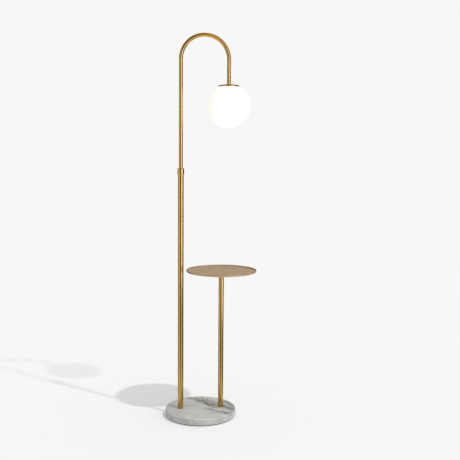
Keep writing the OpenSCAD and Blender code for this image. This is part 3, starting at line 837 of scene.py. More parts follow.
def round_copies_tree():
    """Copies of a piece, evenly round an upright axis."""
    tree, given = new_geometry_tree("copies_round_axis", (
        ("Count", "NodeSocketInt"), ("Axis", "NodeSocketVector"), ("Material", "NodeSocketMaterial"),
    ))
    points = node(tree, "GeometryNodePoints", {"Count": given["Count"]}).outputs[0]
    copies = node(
        tree, "GeometryNodeInstanceOnPoints", {"Points": points, "Instance": given["Geometry"]}
    ).outputs[0]
    step = calc(tree, "DIVIDE", math.tau, given["Count"])
    index = node(tree, "GeometryNodeInputIndex").outputs[0]
    turn = node(tree, "ShaderNodeCombineXYZ", {"Z": calc(tree, "MULTIPLY", index, step)}).outputs[0]
    rotated = node(tree, "GeometryNodeRotateInstances", {
        "Instances": copies, "Rotation": turn, "Pivot Point": given["Axis"], "Local Space": False,
    }).outputs[0]
    end_tree(tree, rotated, given["Material"])
    return tree


def copies_round(bm, name, count, centre, material):
    """Object with count copies of bm round the upright axis through centre."""
    tree = bpy.data.node_groups.get("copies_round_axis") or round_copies_tree()
    obj = new_object(name, to_mesh(bm, name))
    run_tree(obj, tree, {"Count": count, "Axis": (centre[0], centre[1], 0.0), "Material": material})
    return obj


def join_into(obj, bm):
    """Adds another closed shell to the object's mesh."""
    extra = to_mesh(bm, "extra")
    both = bmesh.new()
    both.from_mesh(obj.data)
    both.from_mesh(extra)
    both.to_mesh(obj.data)
    both.free()
    bpy.data.meshes.remove(extra)


def gooseneck_tree():
    """Tube that rises straight, turns over in a half circle and drops straight."""
    tree, given = new_geometry_tree("gooseneck", (
        ("Tube Radius", "NodeSocketFloat"), ("Arch Radius", "NodeSocketFloat"),
        ("Pole X", "NodeSocketFloat"), ("Foot", "NodeSocketFloat"), ("Rise", "NodeSocketFloat"),
        ("Drop", "NodeSocketFloat"), ("Rings", "NodeSocketInt"), ("Sides", "NodeSocketInt"),
        ("Material", "NodeSocketMaterial"),
    ))
    line = node(tree, "GeometryNodeCurvePrimitiveLine").outputs[0]
    line = node(tree, "GeometryNodeResampleCurve", {"Curve": line, "Count": given["Rings"]}).outputs[0]
    arch = calc(tree, "MULTIPLY", given["Arch Radius"], math.pi)
    total = calc(tree, "ADD", calc(tree, "ADD", given["Rise"], given["Drop"]), arch)
    share = node(tree, "GeometryNodeSplineParameter").outputs["Factor"]
    run = calc(tree, "MULTIPLY", share, total)
    past_rise = calc(tree, "MAXIMUM", calc(tree, "SUBTRACT", run, given["Rise"]), 0.0)
    angle = calc(tree, "DIVIDE", calc(tree, "MINIMUM", past_rise, arch), given["Arch Radius"])
    past_arch = calc(tree, "MAXIMUM", calc(tree, "SUBTRACT", past_rise, arch), 0.0)
    across = calc(
        tree, "MULTIPLY", given["Arch Radius"], calc(tree, "SUBTRACT", 1.0, calc(tree, "COSINE", angle))
    )
    over = calc(tree, "MULTIPLY", given["Arch Radius"], calc(tree, "SINE", angle))
    height = calc(tree, "ADD", given["Foot"], calc(tree, "MINIMUM", run, given["Rise"]))
    height = calc(tree, "SUBTRACT", calc(tree, "ADD", height, over), past_arch)
    place = node(
        tree, "ShaderNodeCombineXYZ", {"X": calc(tree, "ADD", given["Pole X"], across), "Z": height}
    ).outputs[0]
    path = node(
        tree, "GeometryNodeStoreNamedAttribute", {"Geometry": line, "Name": "run", "Value": run},
        data_type="FLOAT",
    ).outputs[0]
    path = node(tree, "GeometryNodeSetPosition", {"Geometry": path, "Position": place}).outputs[0]
    ring = node(
        tree, "GeometryNodeCurvePrimitiveCircle",
        {"Resolution": given["Sides"], "Radius": given["Tube Radius"]},
    ).outputs[0]
    place = node(tree, "GeometryNodeInputPosition").outputs[0]
    ring = node(
        tree, "GeometryNodeStoreNamedAttribute",
        {"Geometry": ring, "Name": "side", "Value": vector_calc(tree, "NORMALIZE", place)},
        data_type="FLOAT_VECTOR",
    ).outputs[0]
    tube = node(tree, "GeometryNodeCurveToMesh", {"Curve": path, "Profile Curve": ring}).outputs[0]
    side = node(
        tree, "GeometryNodeInputNamedAttribute", {"Name": "side"}, data_type="FLOAT_VECTOR"
    ).outputs[0]
    side = node(tree, "ShaderNodeSeparateXYZ", {"Vector": side}).outputs
    along = node(
        tree, "GeometryNodeInputNamedAttribute", {"Name": "run"}, data_type="FLOAT"
    ).outputs[0]
    grain = node(tree, "ShaderNodeCombineXYZ", {"X": side["X"], "Y": side["Y"], "Z": along}).outputs[0]
    tube = node(
        tree, "GeometryNodeStoreNamedAttribute", {"Geometry": tube, "Name": "grain", "Value": grain},
        data_type="FLOAT_VECTOR",
    ).outputs[0]
    end_tree(tree, tube, given["Material"])
    return tree


# Pieces


class LAMP_OT_marble_base(bpy.types.Operator):
    """Marble disc with rounded edges, its hidden pockets and the hole for the cable gland"""

    bl_idname = "lamp.marble_base"
    bl_label = "Marble base"

    def execute(self, context):
        shape = context.scene.lamp_shape
        disc = upright("marble_base")
        plate = upright("base_plate")
        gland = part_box("cable_gland")
        edge, recess_edge = shape.marble_edge, 0.4 * MM
        recess = plate.radius + 0.3 * MM
        outline = rounded([
            (0, disc.top, 0), (disc.radius, disc.top, edge), (disc.radius, disc.foot, edge),
            (recess, disc.foot, recess_edge), (recess, plate.top, 0), (0, plate.top, 0),
        ])
        obj = new_object("marble_disc", to_mesh(turned(outline, segments=192), "marble_disc"))
        cut_away(obj, self.hollows(plate, gland, disc))
        finish_piece(obj, "marble_base")
        return {"FINISHED"}

    @staticmethod
    def hollows(plate, gland, disc):
        """Cutters for the pockets, the rods, the wiring trench, the terminal block and the gland."""
        pole, post = upright("pole_tube"), upright("tray_post")
        rod = upright("post_stud").radius + 0.2 * MM
        pocket, trench, trench_end = 22 * MM, 4.5 * MM, plate.radius - 9.6 * MM
        low, ceiling = plate.top - 0.5 * MM, plate.top + 14 * MM
        through = disc.top + MM
        for x in (pole.x, post.x):
            yield turned(drum(pocket, low, ceiling), x)
            yield turned(drum(rod, low, through), x, segments=48)
        yield block((pole.x, -trench, low), (trench, trench, ceiling))
        yield block((-trench, -trench, low), (trench, trench_end, ceiling))
        room = 4 * MM
        block_low, block_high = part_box("terminal_block")
        yield block(
            (block_low.x - room, block_low.y - room, low),
            (block_high.x + room, block_high.y + room, ceiling),
        )
        middle = (gland[0].z + gland[1].z) / 2
        flange = (gland[1].z - gland[0].z) / 2 + 0.3 * MM
        barrel, barrel_depth, flange_depth = 6.5 * MM, 60 * MM, 2 * MM
        past_edge = 3 * MM
        for cut in (drum(barrel, -barrel_depth, MM), drum(flange, -flange_depth, past_edge)):
            yield lay_along_y(turned(cut, segments=64), disc.radius, middle)


class LAMP_OT_base_pad(bpy.types.Operator):
    """Foam pad under the base, with a soft edge"""

    bl_idname = "lamp.base_pad"
    bl_label = "Foam pad"

    def execute(self, context):
        pad = upright("base_pad")
        soft = 0.8 * MM
        outline = rounded([
            (0, pad.foot, 0), (pad.radius, pad.foot, soft), (pad.radius, pad.top, soft), (0, pad.top, 0),
        ])
        add_piece("foam_pad", turned(outline, segments=160), "base_pad")
        return {"FINISHED"}


class LAMP_OT_poles(bpy.types.Operator):
    """Main pole and tray post: drawn tubes with eased ends"""

    bl_idname = "lamp.poles"
    bl_label = "Main pole and tray post"

    def execute(self, context):
        shape = context.scene.lamp_shape
        for name, node_name in (("main_pole", "pole_tube"), ("side_post", "tray_post")):
            tube = upright(node_name)
            bore = tube.radius - shape.tube_wall
            outline = rounded([
                (tube.radius, tube.foot, shape.tube_edge), (tube.radius, tube.top, shape.tube_edge),
                (bore, tube.top, 0), (bore, tube.foot, 0),
            ], steps=4)
            add_piece(name, turned(outline, tube.x, tube.y, segments=96), node_name)
        return {"FINISHED"}


class LAMP_OT_collar(bpy.types.Operator):
    """Locking collar: polished, rounded at both ends, with a lip over the grip ring"""

    bl_idname = "lamp.collar"
    bl_label = "Locking collar"

    def execute(self, context):
        shape = context.scene.lamp_shape
        collar = upright("lock_collar")
        nose = upright("pole_ferrule").radius
        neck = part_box("gooseneck_tube")
        bore = nose + 0.15 * MM
        lip_bore = (neck[1].y - neck[0].y) / 2 + 0.3 * MM
        foot_edge, lip_edge = 2 * MM, 0.5 * MM
        under_lip = collar.top - shape.collar_lip
        outline = rounded([
            (collar.radius, collar.foot, foot_edge), (collar.radius, collar.top, shape.collar_edge),
            (lip_bore, collar.top, lip_edge), (lip_bore, under_lip, 0),
            (bore, under_lip, 0), (bore, collar.foot, 0),
        ], steps=10)
        add_piece("collar", turned(outline, collar.x, collar.y, segments=128), "lock_collar")
        return {"FINISHED"}


class LAMP_OT_gooseneck(bpy.types.Operator):
    """Gooseneck tube, swept along its path by geometry nodes"""

    bl_idname = "lamp.gooseneck"
    bl_label = "Gooseneck"

    def execute(self, context):
        shape = context.scene.lamp_shape
        low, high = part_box("gooseneck_tube")
        radius = (high.y - low.y) / 2
        arch = (high.x - low.x) / 2 - radius
        spring_line = high.z - radius - arch
        obj = new_object("gooseneck", bpy.data.meshes.new("gooseneck"))
        run_tree(obj, gooseneck_tree(), {
            "Tube Radius": radius, "Arch Radius": arch, "Pole X": low.x + radius, "Foot": low.z,
            "Rise": spring_line - low.z, "Drop": spring_line - upright("shade_cap").top,
            "Rings": 260, "Sides": 72, "Material": finish_for("brushed_brass"),
        })
        shell = bmesh.new()
        shell.from_mesh(obj.data)
        bmesh.ops.recalc_face_normals(shell, faces=shell.faces)
        shell.to_mesh(obj.data)
        shell.free()
        wall = obj.modifiers.new("wall", "SOLIDIFY")
        wall.thickness = shape.tube_wall
        wall.offset = -1.0
        settle_modifiers(obj)
        finish_piece(obj, "gooseneck_tube")
        return {"FINISHED"}


class LAMP_OT_cap(bpy.types.Operator):
    """Spun cap over the globe, with a shallow dome and a hemmed rim"""

    bl_idname = "lamp.cap"
    bl_label = "Spun cap"

    def execute(self, context):
        shape = context.scene.lamp_shape
        cap = upright("shade_cap")
        hole = upright("head_nipple").radius + 0.2 * MM
        steps = 20

        def dome(rim, drop):
            """Outline of a quarter ellipse from the flat seat out to the rim."""
            points = []
            for k in range(steps + 1):
                out = math.sin(math.pi / 2 * k / steps)
                radius = shape.cap_seat + (rim - shape.cap_seat) * out
                share = min(1.0, (radius - shape.cap_seat) / (cap.radius - shape.cap_seat))
                fall = shape.cap_dome * (1 - math.sqrt(1 - share * share))
                points.append((radius, cap.top - fall - drop))
            return points

        hem = 0.4 * MM
        soft = 0.3 * hem
        inner = cap.radius - shape.cap_metal
        outline = [(hole, cap.top)] + dome(cap.radius, 0.0)
        outline += [
            (cap.radius, cap.foot + hem), (cap.radius - soft, cap.foot + soft),
            (cap.radius - hem, cap.foot), (inner + soft, cap.foot), (inner, cap.foot + soft),
        ]
        outline += reversed(dome(inner, shape.cap_metal))
        outline.append((hole, cap.top - shape.cap_metal))
        add_piece("spun_cap", turned(outline, cap.x, cap.y, segments=160), "shade_cap", sharp=50.0)
        return {"FINISHED"}


def globe_mouth(globe):
    """Height of the globe's centre, and the radius of its mouth."""
    centre = globe.foot + globe.radius
    return centre, math.sqrt(globe.radius**2 - (globe.top - centre) ** 2)


class LAMP_OT_globe(bpy.types.Operator):
    """Opal glass globe with its wall and a rounded mouth"""

    bl_idname = "lamp.globe"
    bl_label = "Opal globe"

    def execute(self, context):
        shape = context.scene.lamp_shape
        globe = upright("glass_globe")
        centre, mouth = globe_mouth(globe)
        rings, lip, lip_rise = 72, 0.4 * MM, 0.1 * MM
        outline = []
        for radius, order in ((globe.radius, 1), (globe.radius - shape.glass_wall, -1)):
            end = math.pi - math.asin(mouth / radius)
            outline += arc(radius, centre, 0.0, end, rings)[::order]
        outline[rings] = (mouth + lip, outline[rings][1] - lip)
        outline.insert(rings + 1, (mouth, outline[rings][1] + lip_rise))
        add_piece("opal_globe", turned(outline, globe.x, globe.y, segments=144), "glass_globe", sharp=60.0)
        return {"FINISHED"}


class LAMP_OT_globe_springs(bpy.types.Operator):
    """Spring plate: arms that reach through the globe's mouth, copied round by geometry nodes"""

    bl_idname = "lamp.globe_springs"
    bl_label = "Globe springs"

    def execute(self, context):
        shape = context.scene.lamp_shape
        cap, globe = upright("shade_cap"), upright("glass_globe")
        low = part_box("globe_springs")[0].z
        seat, metal = shape.cap_seat, shape.spring_metal
        hole = upright("head_nipple").radius + 0.2 * MM
        hub_top = cap.top - shape.cap_metal
        hub_foot, mid = hub_top - metal, hub_top - metal / 2
        centre, mouth = globe_mouth(globe)
        inside = globe.radius - shape.glass_wall
        under_glass = centre + math.sqrt(inside**2 - mouth**2)
        under_cap = [(seat - 2 * MM, mid), (seat, mid), (mouth - 14 * MM, mid - 0.9 * MM)]
        over_mouth = [(mouth - 5 * MM, globe.top + 1.4 * MM)]
        in_mouth = [(mouth - 1.4 * MM, globe.top - MM), (mouth - 1.2 * MM, under_glass)]
        toe = [(mouth + MM, under_glass - 4.5 * MM), (mouth - 6.8 * MM, low + 0.6 * MM)]
        path = self.eased(under_cap + over_mouth + in_mouth + toe)
        arm = self.strip(path, metal, shape.spring_width)
        towards_y = Matrix.Rotation(math.pi / 2, 4, "Z")
        arm.transform(Matrix.Translation((cap.x, cap.y, 0)) @ towards_y)
        obj = copies_round(
            arm, "globe_spring_plate", shape.spring_count, (cap.x, cap.y), finish_for("spring_steel")
        )
        hub = [(hole, hub_foot), (seat, hub_foot), (seat, hub_top), (hole, hub_top)]
        join_into(obj, turned(hub, cap.x, cap.y, segments=64))
        finish_piece(obj, "globe_springs")
        return {"FINISHED"}

    @staticmethod
    def eased(points, rounds=2):
        """A path whose corners are cut in each round, so that the strip bends smoothly."""
        path = [Vector(p) for p in points]
        for _ in range(rounds):
            cut = [path[0]]
            for a, b in zip(path, path[1:]):
                cut += [a.lerp(b, 0.25), a.lerp(b, 0.75)]
            path = cut + [path[-1]]
        return path

    @staticmethod
    def strip(path, thickness, width):
        """Closed strip of metal along a path in the XZ plane."""
        bm = bmesh.new()
        rings = []
        for point, step in zip(path, steps_along(path)):
            off = Vector((-step.y, step.x)) * thickness / 2
            rings.append([
                bm.verts.new((point.x + sign * off.x, side * width / 2, point.y + sign * off.y))
                for side, sign in ((-1, -1), (-1, 1), (1, 1), (1, -1))
            ])
        return skin(bm, rings, ends=True)


class LAMP_OT_lampholder(bpy.types.Operator):
    """Lampholder: conical top cover, and a skirt with grip ribs copied round by geometry nodes"""

    bl_idname = "lamp.lampholder"
    bl_label = "Lampholder"

    def execute(self, context):
        shape = context.scene.lamp_shape
        cover, skirt = upright("lampholder_top"), upright("lampholder_skirt")
        rod = upright("head_nipple").radius + 0.05 * MM
        shell = upright("holder_contacts").radius + 0.2 * MM
        wall, crown, slope, roof = 2 * MM, 9 * MM, 6 * MM, 9 * MM
        bore = cover.radius - wall
        outline = rounded([
            (rod, cover.top, 0), (crown, cover.top, 0.6 * MM), (cover.radius, cover.top - slope, 2 * MM),
            (cover.radius, cover.foot, 0.3 * MM), (bore, cover.foot, 0),
            (bore, cover.top - roof, 1 * MM), (rod, cover.top - roof, 0),
        ])
        add_piece("holder_cover", turned(outline, cover.x, cover.y), "lampholder_top")
        waist, seat = skirt.radius - wall, skirt.radius - 4 * MM
        between_ribs, band_foot = skirt.radius - 0.5 * MM, skirt.top - 6 * MM
        ledge = upright("contact_block").foot
        outline = rounded([
            (seat, skirt.top, 0), (between_ribs, skirt.top, 0.8 * MM),
            (between_ribs, band_foot, 0.6 * MM), (waist, band_foot - wall, 1 * MM),
            (waist, skirt.foot, 0.8 * MM), (shell, skirt.foot, 0.3 * MM),
            (shell, ledge, 0), (seat, ledge, 0),
        ])
        rib = grip_rib(
            root=skirt.radius - 1.2 * MM, crest=skirt.radius - 0.05 * MM,
            low=band_foot + 0.3 * MM, high=skirt.top - 0.9 * MM, half_width=0.8 * MM, edge=0.4 * MM,
        )
        rib.transform(Matrix.Translation((skirt.x, skirt.y, 0)))
        obj = copies_round(
            rib, "holder_skirt", shape.rib_count, (skirt.x, skirt.y), finish_for("black_plastic")
        )
        join_into(obj, turned(outline, skirt.x, skirt.y))
        finish_piece(obj, "lampholder_skirt")
        return {"FINISHED"}


class LAMP_OT_bulb(bpy.types.Operator):
    """Bulb: screw cap with a rolled helical thread, tapered body and frosted dome"""

    bl_idname = "lamp.bulb"
    bl_label = "Bulb"

    def execute(self, context):
        cap, body, dome = upright("bulb_screw_cap"), upright("bulb_body"), upright("bulb_dome")
        add_piece("bulb_cap", self.thread(cap), "bulb_screw_cap", sharp=60.0)
        neck = cap.radius + 0.4 * MM
        steps, cone, curve = 16, 0.55, 0.45
        swell = []
        for k in range(steps + 1):
            share = k / steps
            ease = share * share * (3 - 2 * share)
            radius = neck + (body.radius - neck) * (cone * share + curve * ease)
            swell.append((radius, body.top + (body.foot - body.top) * share))
        outline = [(0, body.top)] + swell + [(0, body.foot)]
        add_piece("bulb_neck", turned(outline, body.x, body.y), "bulb_body")
        centre = dome.foot + dome.radius
        wall, rings = 1.5 * MM, 40
        outline = []
        for radius, order in ((dome.radius, 1), (dome.radius - wall, -1)):
            start = math.pi - math.acos(min(1.0, (dome.top - centre) / radius))
            outline += arc(radius, centre, start, 0.0, rings)[::order]
        add_piece("bulb_light", turned(outline, dome.x, dome.y), "bulb_dome", sharp=60.0)
        return {"FINISHED"}

    @staticmethod
    def thread(cap):
        """Screw cap whose rolled thread climbs round it and fades out at both ends."""
        pitch, relief, run_out, tip = 3.6 * MM, 0.75 * MM, 2 * MM, 2.2 * MM
        shoulder, shoulder_rise, contact = 10 * MM, 0.3 * MM, 5 * MM
        segments, rows = 72, 60
        top = cap.top - tip
        angles = [math.tau * i / segments for i in range(segments)]
        bm = bmesh.new()

        def ring(radii, z):
            return [
                bm.verts.new((cap.x + radius * math.cos(a), cap.y + radius * math.sin(a), z))
                for radius, a in zip(radii, angles)
            ]

        rings = [ring([0.0], cap.foot)]
        for k in range(rows + 1):
            z = cap.foot + (top - cap.foot) * k / rows
            fade = max(0.0, min(1.0, (top - z) / run_out, (z - cap.foot) / run_out))
            waves = [0.5 + 0.5 * math.cos(math.tau * z / pitch - a) for a in angles]
            rings.append(ring([cap.radius - relief * (1 - wave * fade) for wave in waves], z))
        rings.append(ring([shoulder] * segments, top + shoulder_rise))
        rings.append(ring([contact] * segments, cap.top))
        rings.append(ring([0.0], cap.top))
        return skin(bm, rings)


class LAMP_OT_tray(bpy.types.Operator):
    """Tray: pressed pan with a rounded bend and a rolled rim, on a turned flange"""

    bl_idname = "lamp.tray"
    bl_label = "Tray"

    def execute(self, context):
        shape = context.scene.lamp_shape
        pan, flange = upright("tray_pan"), upright("tray_flange")
        metal = shape.tray_metal
        inner, floor = pan.radius - metal, pan.foot + metal
        # A little under half the metal, so that the two arcs of the rim stay apart
        roll = metal / 2 * 0.999
        outline = rounded([
            (0, pan.foot, 0), (pan.radius, pan.foot, shape.tray_bend), (pan.radius, pan.top, roll),
            (inner, pan.top, roll), (inner, floor, shape.tray_bend - metal), (0, floor, 0),
        ], steps=8)
        add_piece("tray", turned(outline, pan.x, pan.y, segments=192), "tray_pan")
        hole = upright("tray_stud").radius + 0.02 * MM
        outline = rounded([
            (hole, flange.foot, 0), (flange.radius, flange.foot, 1.2 * MM),
            (flange.radius, flange.top, 0.3 * MM), (hole, flange.top, 0),
        ])
        add_piece("tray_rest", turned(outline, flange.x, flange.y, segments=128), "tray_flange")
        return {"FINISHED"}


class LAMP_OT_cord_inlet(bpy.types.Operator):
    """Cable gland in the back edge of the base, with grip ribs copied round by geometry nodes"""

    bl_idname = "lamp.cord_inlet"
    bl_label = "Cable gland"

    def execute(self, context):
        low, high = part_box("cable_gland")
        height = (low.z + high.z) / 2
        flange = (high.z - low.z) / 2
        barrel, bore, flange_metal, rib_count = 6.45 * MM, 3.6 * MM, 3 * MM, 18
        length = high.y - low.y
        between_ribs, shoulder = flange - 0.4 * MM, length - flange_metal
        outline = rounded([
            (bore, 0, 0), (barrel, 0, 0.5 * MM), (barrel, shoulder, 0),
            (between_ribs, shoulder, 0.3 * MM), (between_ribs, length, 0.9 * MM), (bore, length, 0.8 * MM),
        ])
        rib = grip_rib(
            root=flange - 1.2 * MM, crest=flange, low=shoulder + 0.2 * MM, high=length - 0.9 * MM,
            half_width=0.5 * MM, edge=0.25 * MM,
        )
        obj = copies_round(rib, "gland", rib_count, (0, 0), finish_for("black_plastic"))
        join_into(obj, turned(outline))
        lay_along_y(obj.data, low.y, height)
        finish_piece(obj, "cable_gland")
        return {"FINISHED"}


class LAMP_OT_pole_lead(bpy.types.Operator):
    """Lead that runs from the cable gland across the base and up the main pole, as one fixed sweep"""

    bl_idname = "lamp.pole_lead"
    bl_label = "Pole lead"

    def execute(self, context):
        low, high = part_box("pole_lead")
        pole = upright("pole_tube")
        radius = 2.2 * MM
        rise, turn = 5 * MM, 16 * MM
        level = low.z + radius

        def quarter(steps):
            return [math.pi / 2 * k / steps for k in range(steps + 1)]

        path = [Vector((pole.x, 0, high.z))]
        path += [
            Vector((pole.x + rise - rise * math.cos(a), 0, level + rise - rise * math.sin(a)))
            for a in quarter(8)
        ]
        path += [
            Vector((-turn + turn * math.sin(a), turn - turn * math.cos(a), level)) for a in quarter(10)
        ]
        path.append(Vector((0, high.y, level)))
        obj = new_object("lead", to_mesh(self.sweep(path, radius), "lead"))
        finish_piece(obj, "pole_lead")
        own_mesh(obj)
        return {"FINISHED"}

    @staticmethod
    def sweep(path, radius, sides=16):
        """Closed round tube along a path."""
        bm = bmesh.new()
        rings, side = [], Vector((0, 1, 0))
        for point, step in zip(path, steps_along(path)):
            side = (side - step * side.dot(step)).normalized()
            up = step.cross(side)
            rings.append([
                bm.verts.new(point + radius * (side * math.cos(a) + up * math.sin(a)))
                for a in [math.tau * i / sides for i in range(sides)]
            ])
        return skin(bm, rings, ends=True)


class LAMP_OT_inner_parts(bpy.types.Operator):
    """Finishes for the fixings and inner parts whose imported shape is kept"""

    bl_idname = "lamp.inner_parts"
    bl_label = "Inner parts"

    def execute(self, context):
        for name, obj in frame["nodes"].items():
            if obj.hide_render:
                continue
            obj.data.materials.clear()
            obj.data.materials.append(finish_for(SLOT_OF[name]))
        return {"FINISHED"}


# Stage


def background_rays(tree):
    """Value that is 1 for rays that see the background, which are camera, glossy and transmission
    rays, and the outputs of the light path."""
    path = node(tree, "ShaderNodeLightPath").outputs
    seen = calc(tree, "MAXIMUM", path["Is Camera Ray"], path["Is Glossy Ray"])
    return calc(tree, "MAXIMUM", seen, path["Is Transmission Ray"]), path


# Distances from the base's centre between which the floor fades into the background, and between
# which it opens to the studio for gloss; and half the floor's side
FLOOR_FADES = (2.4, 5.0)
GLOSS_FADES = (0.15, 0.4)
FLOOR_HALF = 40.0


def floor_material(stage):
    """Pale floor that keeps the shadows, evens out the key lamps and fades into the background."""
    material = bpy.data.materials.new("stage_floor")
    material.use_nodes = True
    tree = material.node_tree
    tree.nodes.clear()
    coordinates = node(tree, "ShaderNodeTexCoord").outputs["Object"]
    seen, path = background_rays(tree)
    place, tone = Vector(stage.key_place), stage.floor_tone
    lamp_distance = vector_calc(tree, "DISTANCE", coordinates, tuple(place))
    falloff = calc(tree, "POWER", calc(tree, "DIVIDE", place.length, lamp_distance), 3.0)
    key = calc(tree, "MULTIPLY", falloff, stage.key_level)
    lit = calc(tree, "MULTIPLY", calc(tree, "ADD", key, stage.fill), tone)
    lift = calc(tree, "MAXIMUM", calc(tree, "SUBTRACT", stage.white, lit), 0.0)
    diffuse = node(tree, "ShaderNodeBsdfDiffuse", {"Color": (tone, tone, tone, 1.0)}).outputs[0]
    glow = node(tree, "ShaderNodeEmission", {"Strength": calc(tree, "MULTIPLY", lift, seen)}).outputs[0]
    near = node(tree, "ShaderNodeAddShader", {0: diffuse, 1: glow}).outputs[0]
    far = node(tree, "ShaderNodeEmission", {"Strength": stage.white}).outputs[0]
    away = vector_calc(tree, "LENGTH", coordinates)
    faded = smooth_step(tree, away, *FLOOR_FADES)
    surface = node(tree, "ShaderNodeMixShader", {0: faded, 1: near, 2: far}).outputs[0]
    clear = node(tree, "ShaderNodeBsdfTransparent").outputs[0]
    open_studio = calc(tree, "MULTIPLY", path["Is Glossy Ray"], smooth_step(tree, away, *GLOSS_FADES))
    surface = node(tree, "ShaderNodeMixShader", {0: open_studio, 1: surface, 2: clear}).outputs[0]
    node(tree, "ShaderNodeOutputMaterial", {"Surface": surface})
    return material


# Brightness of the studio that polished metal shows, by place round the lamp in parts of a turn:
# 0.5 lies towards the camera, 0.75 to its right, 0.25 to its left, and 0 and 1 behind the lamp
STUDIO_BANDS = (
    (0.0, 0.5), (0.07, 0.1), (0.2, 0.09), (0.245, 0.55), (0.3, 1.5), (0.365, 1.3), (0.42, 0.14),
    (0.485, 0.13), (0.53, 0.6), (0.575, 1.0), (0.61, 2.0), (0.64, 2.3), (0.647, 9.0), (0.654, 2.3),
    (0.675, 2.0), (0.695, 0.12), (0.9, 0.06), (1.0, 0.5),
)
# Its shade is warmer than its light: powers of the brightness for red, green and blue
BAND_POWERS = (1.0, 1.15, 1.5)
# Tints of the studio's upper part and of the floor, as gloss shows them
HIGH_TINT = (0.87, 0.79, 0.62)
FLOOR_TINT = (1.18, 1.12, 0.95)
# Direction of the light overhead, which leans away from the camera, and the fill light's lean
# towards the camera's right
OVERHEAD_AIM = (-0.42, 0.0, 0.91)
FILL_LEAN = 0.4


def studio_world(stage):
    """White background, soft fill light, and bright and dark bands for the metal to show."""
    world = bpy.data.worlds.new("studio")
    world.use_nodes = True
    tree = world.node_tree
    tree.nodes.clear()
    direction = node(tree, "ShaderNodeTexCoord").outputs["Generated"]
    turned_to_camera = node(
        tree, "ShaderNodeMapping",
        {"Vector": direction, "Rotation": (0.0, 0.0, math.pi / 2 + stage.camera_turn)},
    ).outputs["Vector"]
    parts = node(tree, "ShaderNodeSeparateXYZ", {"Vector": turned_to_camera}).outputs
    angle = calc(tree, "ARCTAN2", parts["Y"], parts["X"])
    share = calc(tree, "MULTIPLY_ADD", angle, 1 / math.tau, 0.5)
    ramp = node(tree, "ShaderNodeValToRGB", {"Fac": share})
    ramp.color_ramp.interpolation = "EASE"
    stops = ramp.color_ramp.elements
    stops[0].position, stops[1].position = STUDIO_BANDS[0][0], STUDIO_BANDS[-1][0]
    for place, _ in STUDIO_BANDS[1:-1]:
        stops.new(place)
    for stop, (_, level) in zip(stops, STUDIO_BANDS):
        stop.color = (*(level ** power for power in BAND_POWERS), 1.0)
    rise = parts["Z"]
    low_level = smooth_step(tree, share, 0.46, 0.56, 0.9, 0.42)
    low_ends = smooth_step(tree, rise, -0.18, -0.13, low_level, 1.0)
    high_ends = smooth_step(tree, rise, 0.25, 0.6, 1.0, 0.65)
    ends = calc(tree, "MULTIPLY", low_ends, high_ends)
    warmer = blend_colours(tree, smooth_step(tree, rise, 0.14, 0.24), (1.0, 1.0, 1.0), HIGH_TINT)
    bands = vector_calc(tree, "MULTIPLY", ramp.outputs["Color"], ends)
    bands = vector_calc(tree, "MULTIPLY", bands, warmer)
    above = vector_calc(tree, "DOT_PRODUCT", turned_to_camera, OVERHEAD_AIM)
    above = smooth_step(tree, above, 0.9, 0.99)
    bands = blend_colours(tree, above, bands, (stage.overhead,) * 3)
    below = smooth_step(tree, rise, -0.3, -0.6)
    bands = blend_colours(tree, below, bands, [stage.underfoot * part for part in FLOOR_TINT])
    seen, path = background_rays(tree)
    inward = blend_colours(tree, path["Is Camera Ray"], bands, (stage.white,) * 3)
    fill = calc(tree, "MULTIPLY_ADD", parts["Y"], FILL_LEAN, 1.0)
    fill = calc(tree, "MULTIPLY", fill, stage.fill)
    colour = blend_colours(tree, seen, fill, inward)
    background = node(tree, "ShaderNodeBackground", {"Color": colour}).outputs[0]
    node(tree, "ShaderNodeOutputWorld", {"Surface": background})
    return world


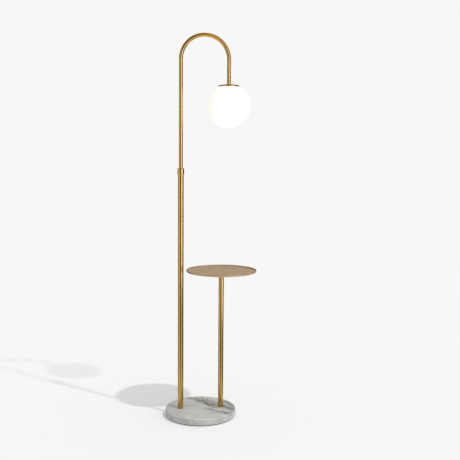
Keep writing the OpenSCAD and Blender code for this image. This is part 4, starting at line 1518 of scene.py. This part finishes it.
class LAMP_OT_stage(bpy.types.Operator):
    """Pale floor, two key lamps, studio world and the camera at the photograph's angle"""

    bl_idname = "lamp.stage"
    bl_label = "Floor, light and camera"

    def execute(self, context):
        scene = context.scene
        stage = scene.lamp_stage
        scene.view_settings.view_transform = "Standard"
        scene.world = studio_world(stage)
        bm = bmesh.new()
        corners = ((-1, -1), (1, -1), (1, 1), (-1, 1))
        bm.faces.new([bm.verts.new((x * FLOOR_HALF, y * FLOOR_HALF, 0)) for x, y in corners])
        floor = new_object("stage_floor", to_mesh(bm, "stage_floor"))
        floor.data.materials.append(floor_material(stage))
        through = stage.key_through_head
        self.key_lamp(stage, "key_lamp", 1 - through)
        self.pass_tall_pieces(self.key_lamp(stage, "key_lamp_through_globe", through))
        self.camera(scene, stage)
        return {"FINISHED"}

    @staticmethod
    def key_lamp(stage, name, share):
        """Small lamp that gives a share of the key level on the floor round the base."""
        place = Vector(stage.key_place)
        data = bpy.data.lights.new(name, "POINT")
        data.shadow_soft_size = stage.key_radius
        # Power that gives this light at the base's centre, for the lamp's distance and its slant
        data.energy = share * stage.key_level * 4 * math.pi**2 * place.length**3 / place.z
        lamp = new_object(name, data)
        lamp.location = place
        lamp.visible_glossy = False
        return lamp

    @staticmethod
    def pass_tall_pieces(lamp):
        """Lets the lamp shine through the head and the tall tubes, so that their shadows are paler."""
        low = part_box("glass_globe")[0].z
        passed = bpy.data.collections.new("head_and_tall_tubes")
        for obj in bpy.data.objects:
            if obj.type == "MESH" and min(corner[2] for corner in obj.bound_box) > low - MM:
                passed.objects.link(obj)
        for name in ("gooseneck", "collar", "main_pole"):
            passed.objects.link(bpy.data.objects[name])
        lamp.light_linking.blocker_collection = passed
        for entry in passed.collection_objects:
            entry.light_linking.link_state = "EXCLUDE"

    @staticmethod
    def camera(scene, stage):
        """Camera with its upright side turned by the roll."""
        turn, pitch, roll = stage.camera_turn, stage.camera_pitch, stage.camera_roll
        level = Vector((math.sin(turn), math.cos(turn), 0))
        right = Vector((math.cos(turn), -math.sin(turn), 0))
        ahead = level * math.cos(pitch) - Vector((0, 0, math.sin(pitch)))
        up = level * math.sin(pitch) + Vector((0, 0, math.cos(pitch)))
        side = right * math.cos(roll) + up * math.sin(roll)
        top = up * math.cos(roll) - right * math.sin(roll)
        data = bpy.data.cameras.new("camera")
        data.sensor_width = 36.0
        data.lens = stage.focal_pixels / PICTURE_SIDE * data.sensor_width
        data.clip_end = 200.0
        camera = new_object("camera", data)
        place = right * stage.camera_aside - level * stage.camera_distance
        place.z = stage.camera_height
        camera.matrix_world = Matrix.Translation(place) @ Matrix((side, top, -ahead)).transposed().to_4x4()
        scene.camera = camera


# Add-on


PIECES = (
    LAMP_OT_marble_base, LAMP_OT_base_pad, LAMP_OT_poles, LAMP_OT_collar,
    LAMP_OT_gooseneck, LAMP_OT_cap, LAMP_OT_globe, LAMP_OT_globe_springs, LAMP_OT_lampholder,
    LAMP_OT_bulb, LAMP_OT_tray, LAMP_OT_cord_inlet, LAMP_OT_pole_lead, LAMP_OT_inner_parts,
    LAMP_OT_stage,
)
SETTINGS = {"lamp_shape": LampShape, "lamp_finish": LampFinish, "lamp_stage": LampStage}


class LAMP_PT_panel(bpy.types.Panel):
    """The lamp's settings and its pieces, in the order in which they are made"""

    bl_idname = "LAMP_PT_panel"
    bl_label = "Floor lamp"
    bl_space_type = "VIEW_3D"
    bl_region_type = "UI"
    bl_category = "Floor lamp"

    def draw(self, context):
        for name, group in SETTINGS.items():
            settings = getattr(context.scene, name)
            box = self.layout.box()
            for prop in group.__annotations__:
                box.prop(settings, prop)
        for piece in PIECES:
            self.layout.operator(piece.bl_idname)


CLASSES = (*SETTINGS.values(), *PIECES, LAMP_PT_panel)


def register():
    for cls in CLASSES:
        bpy.utils.register_class(cls)
    for name, group in SETTINGS.items():
        setattr(bpy.types.Scene, name, PointerProperty(type=group))


def unregister():
    for name in SETTINGS:
        delattr(bpy.types.Scene, name)
    for cls in reversed(CLASSES):
        bpy.utils.unregister_class(cls)


def main():
    register()
    for piece in PIECES:
        group, action = piece.bl_idname.split(".")
        getattr(getattr(bpy.ops, group), action)()


if __name__ == "__main__":
    main()
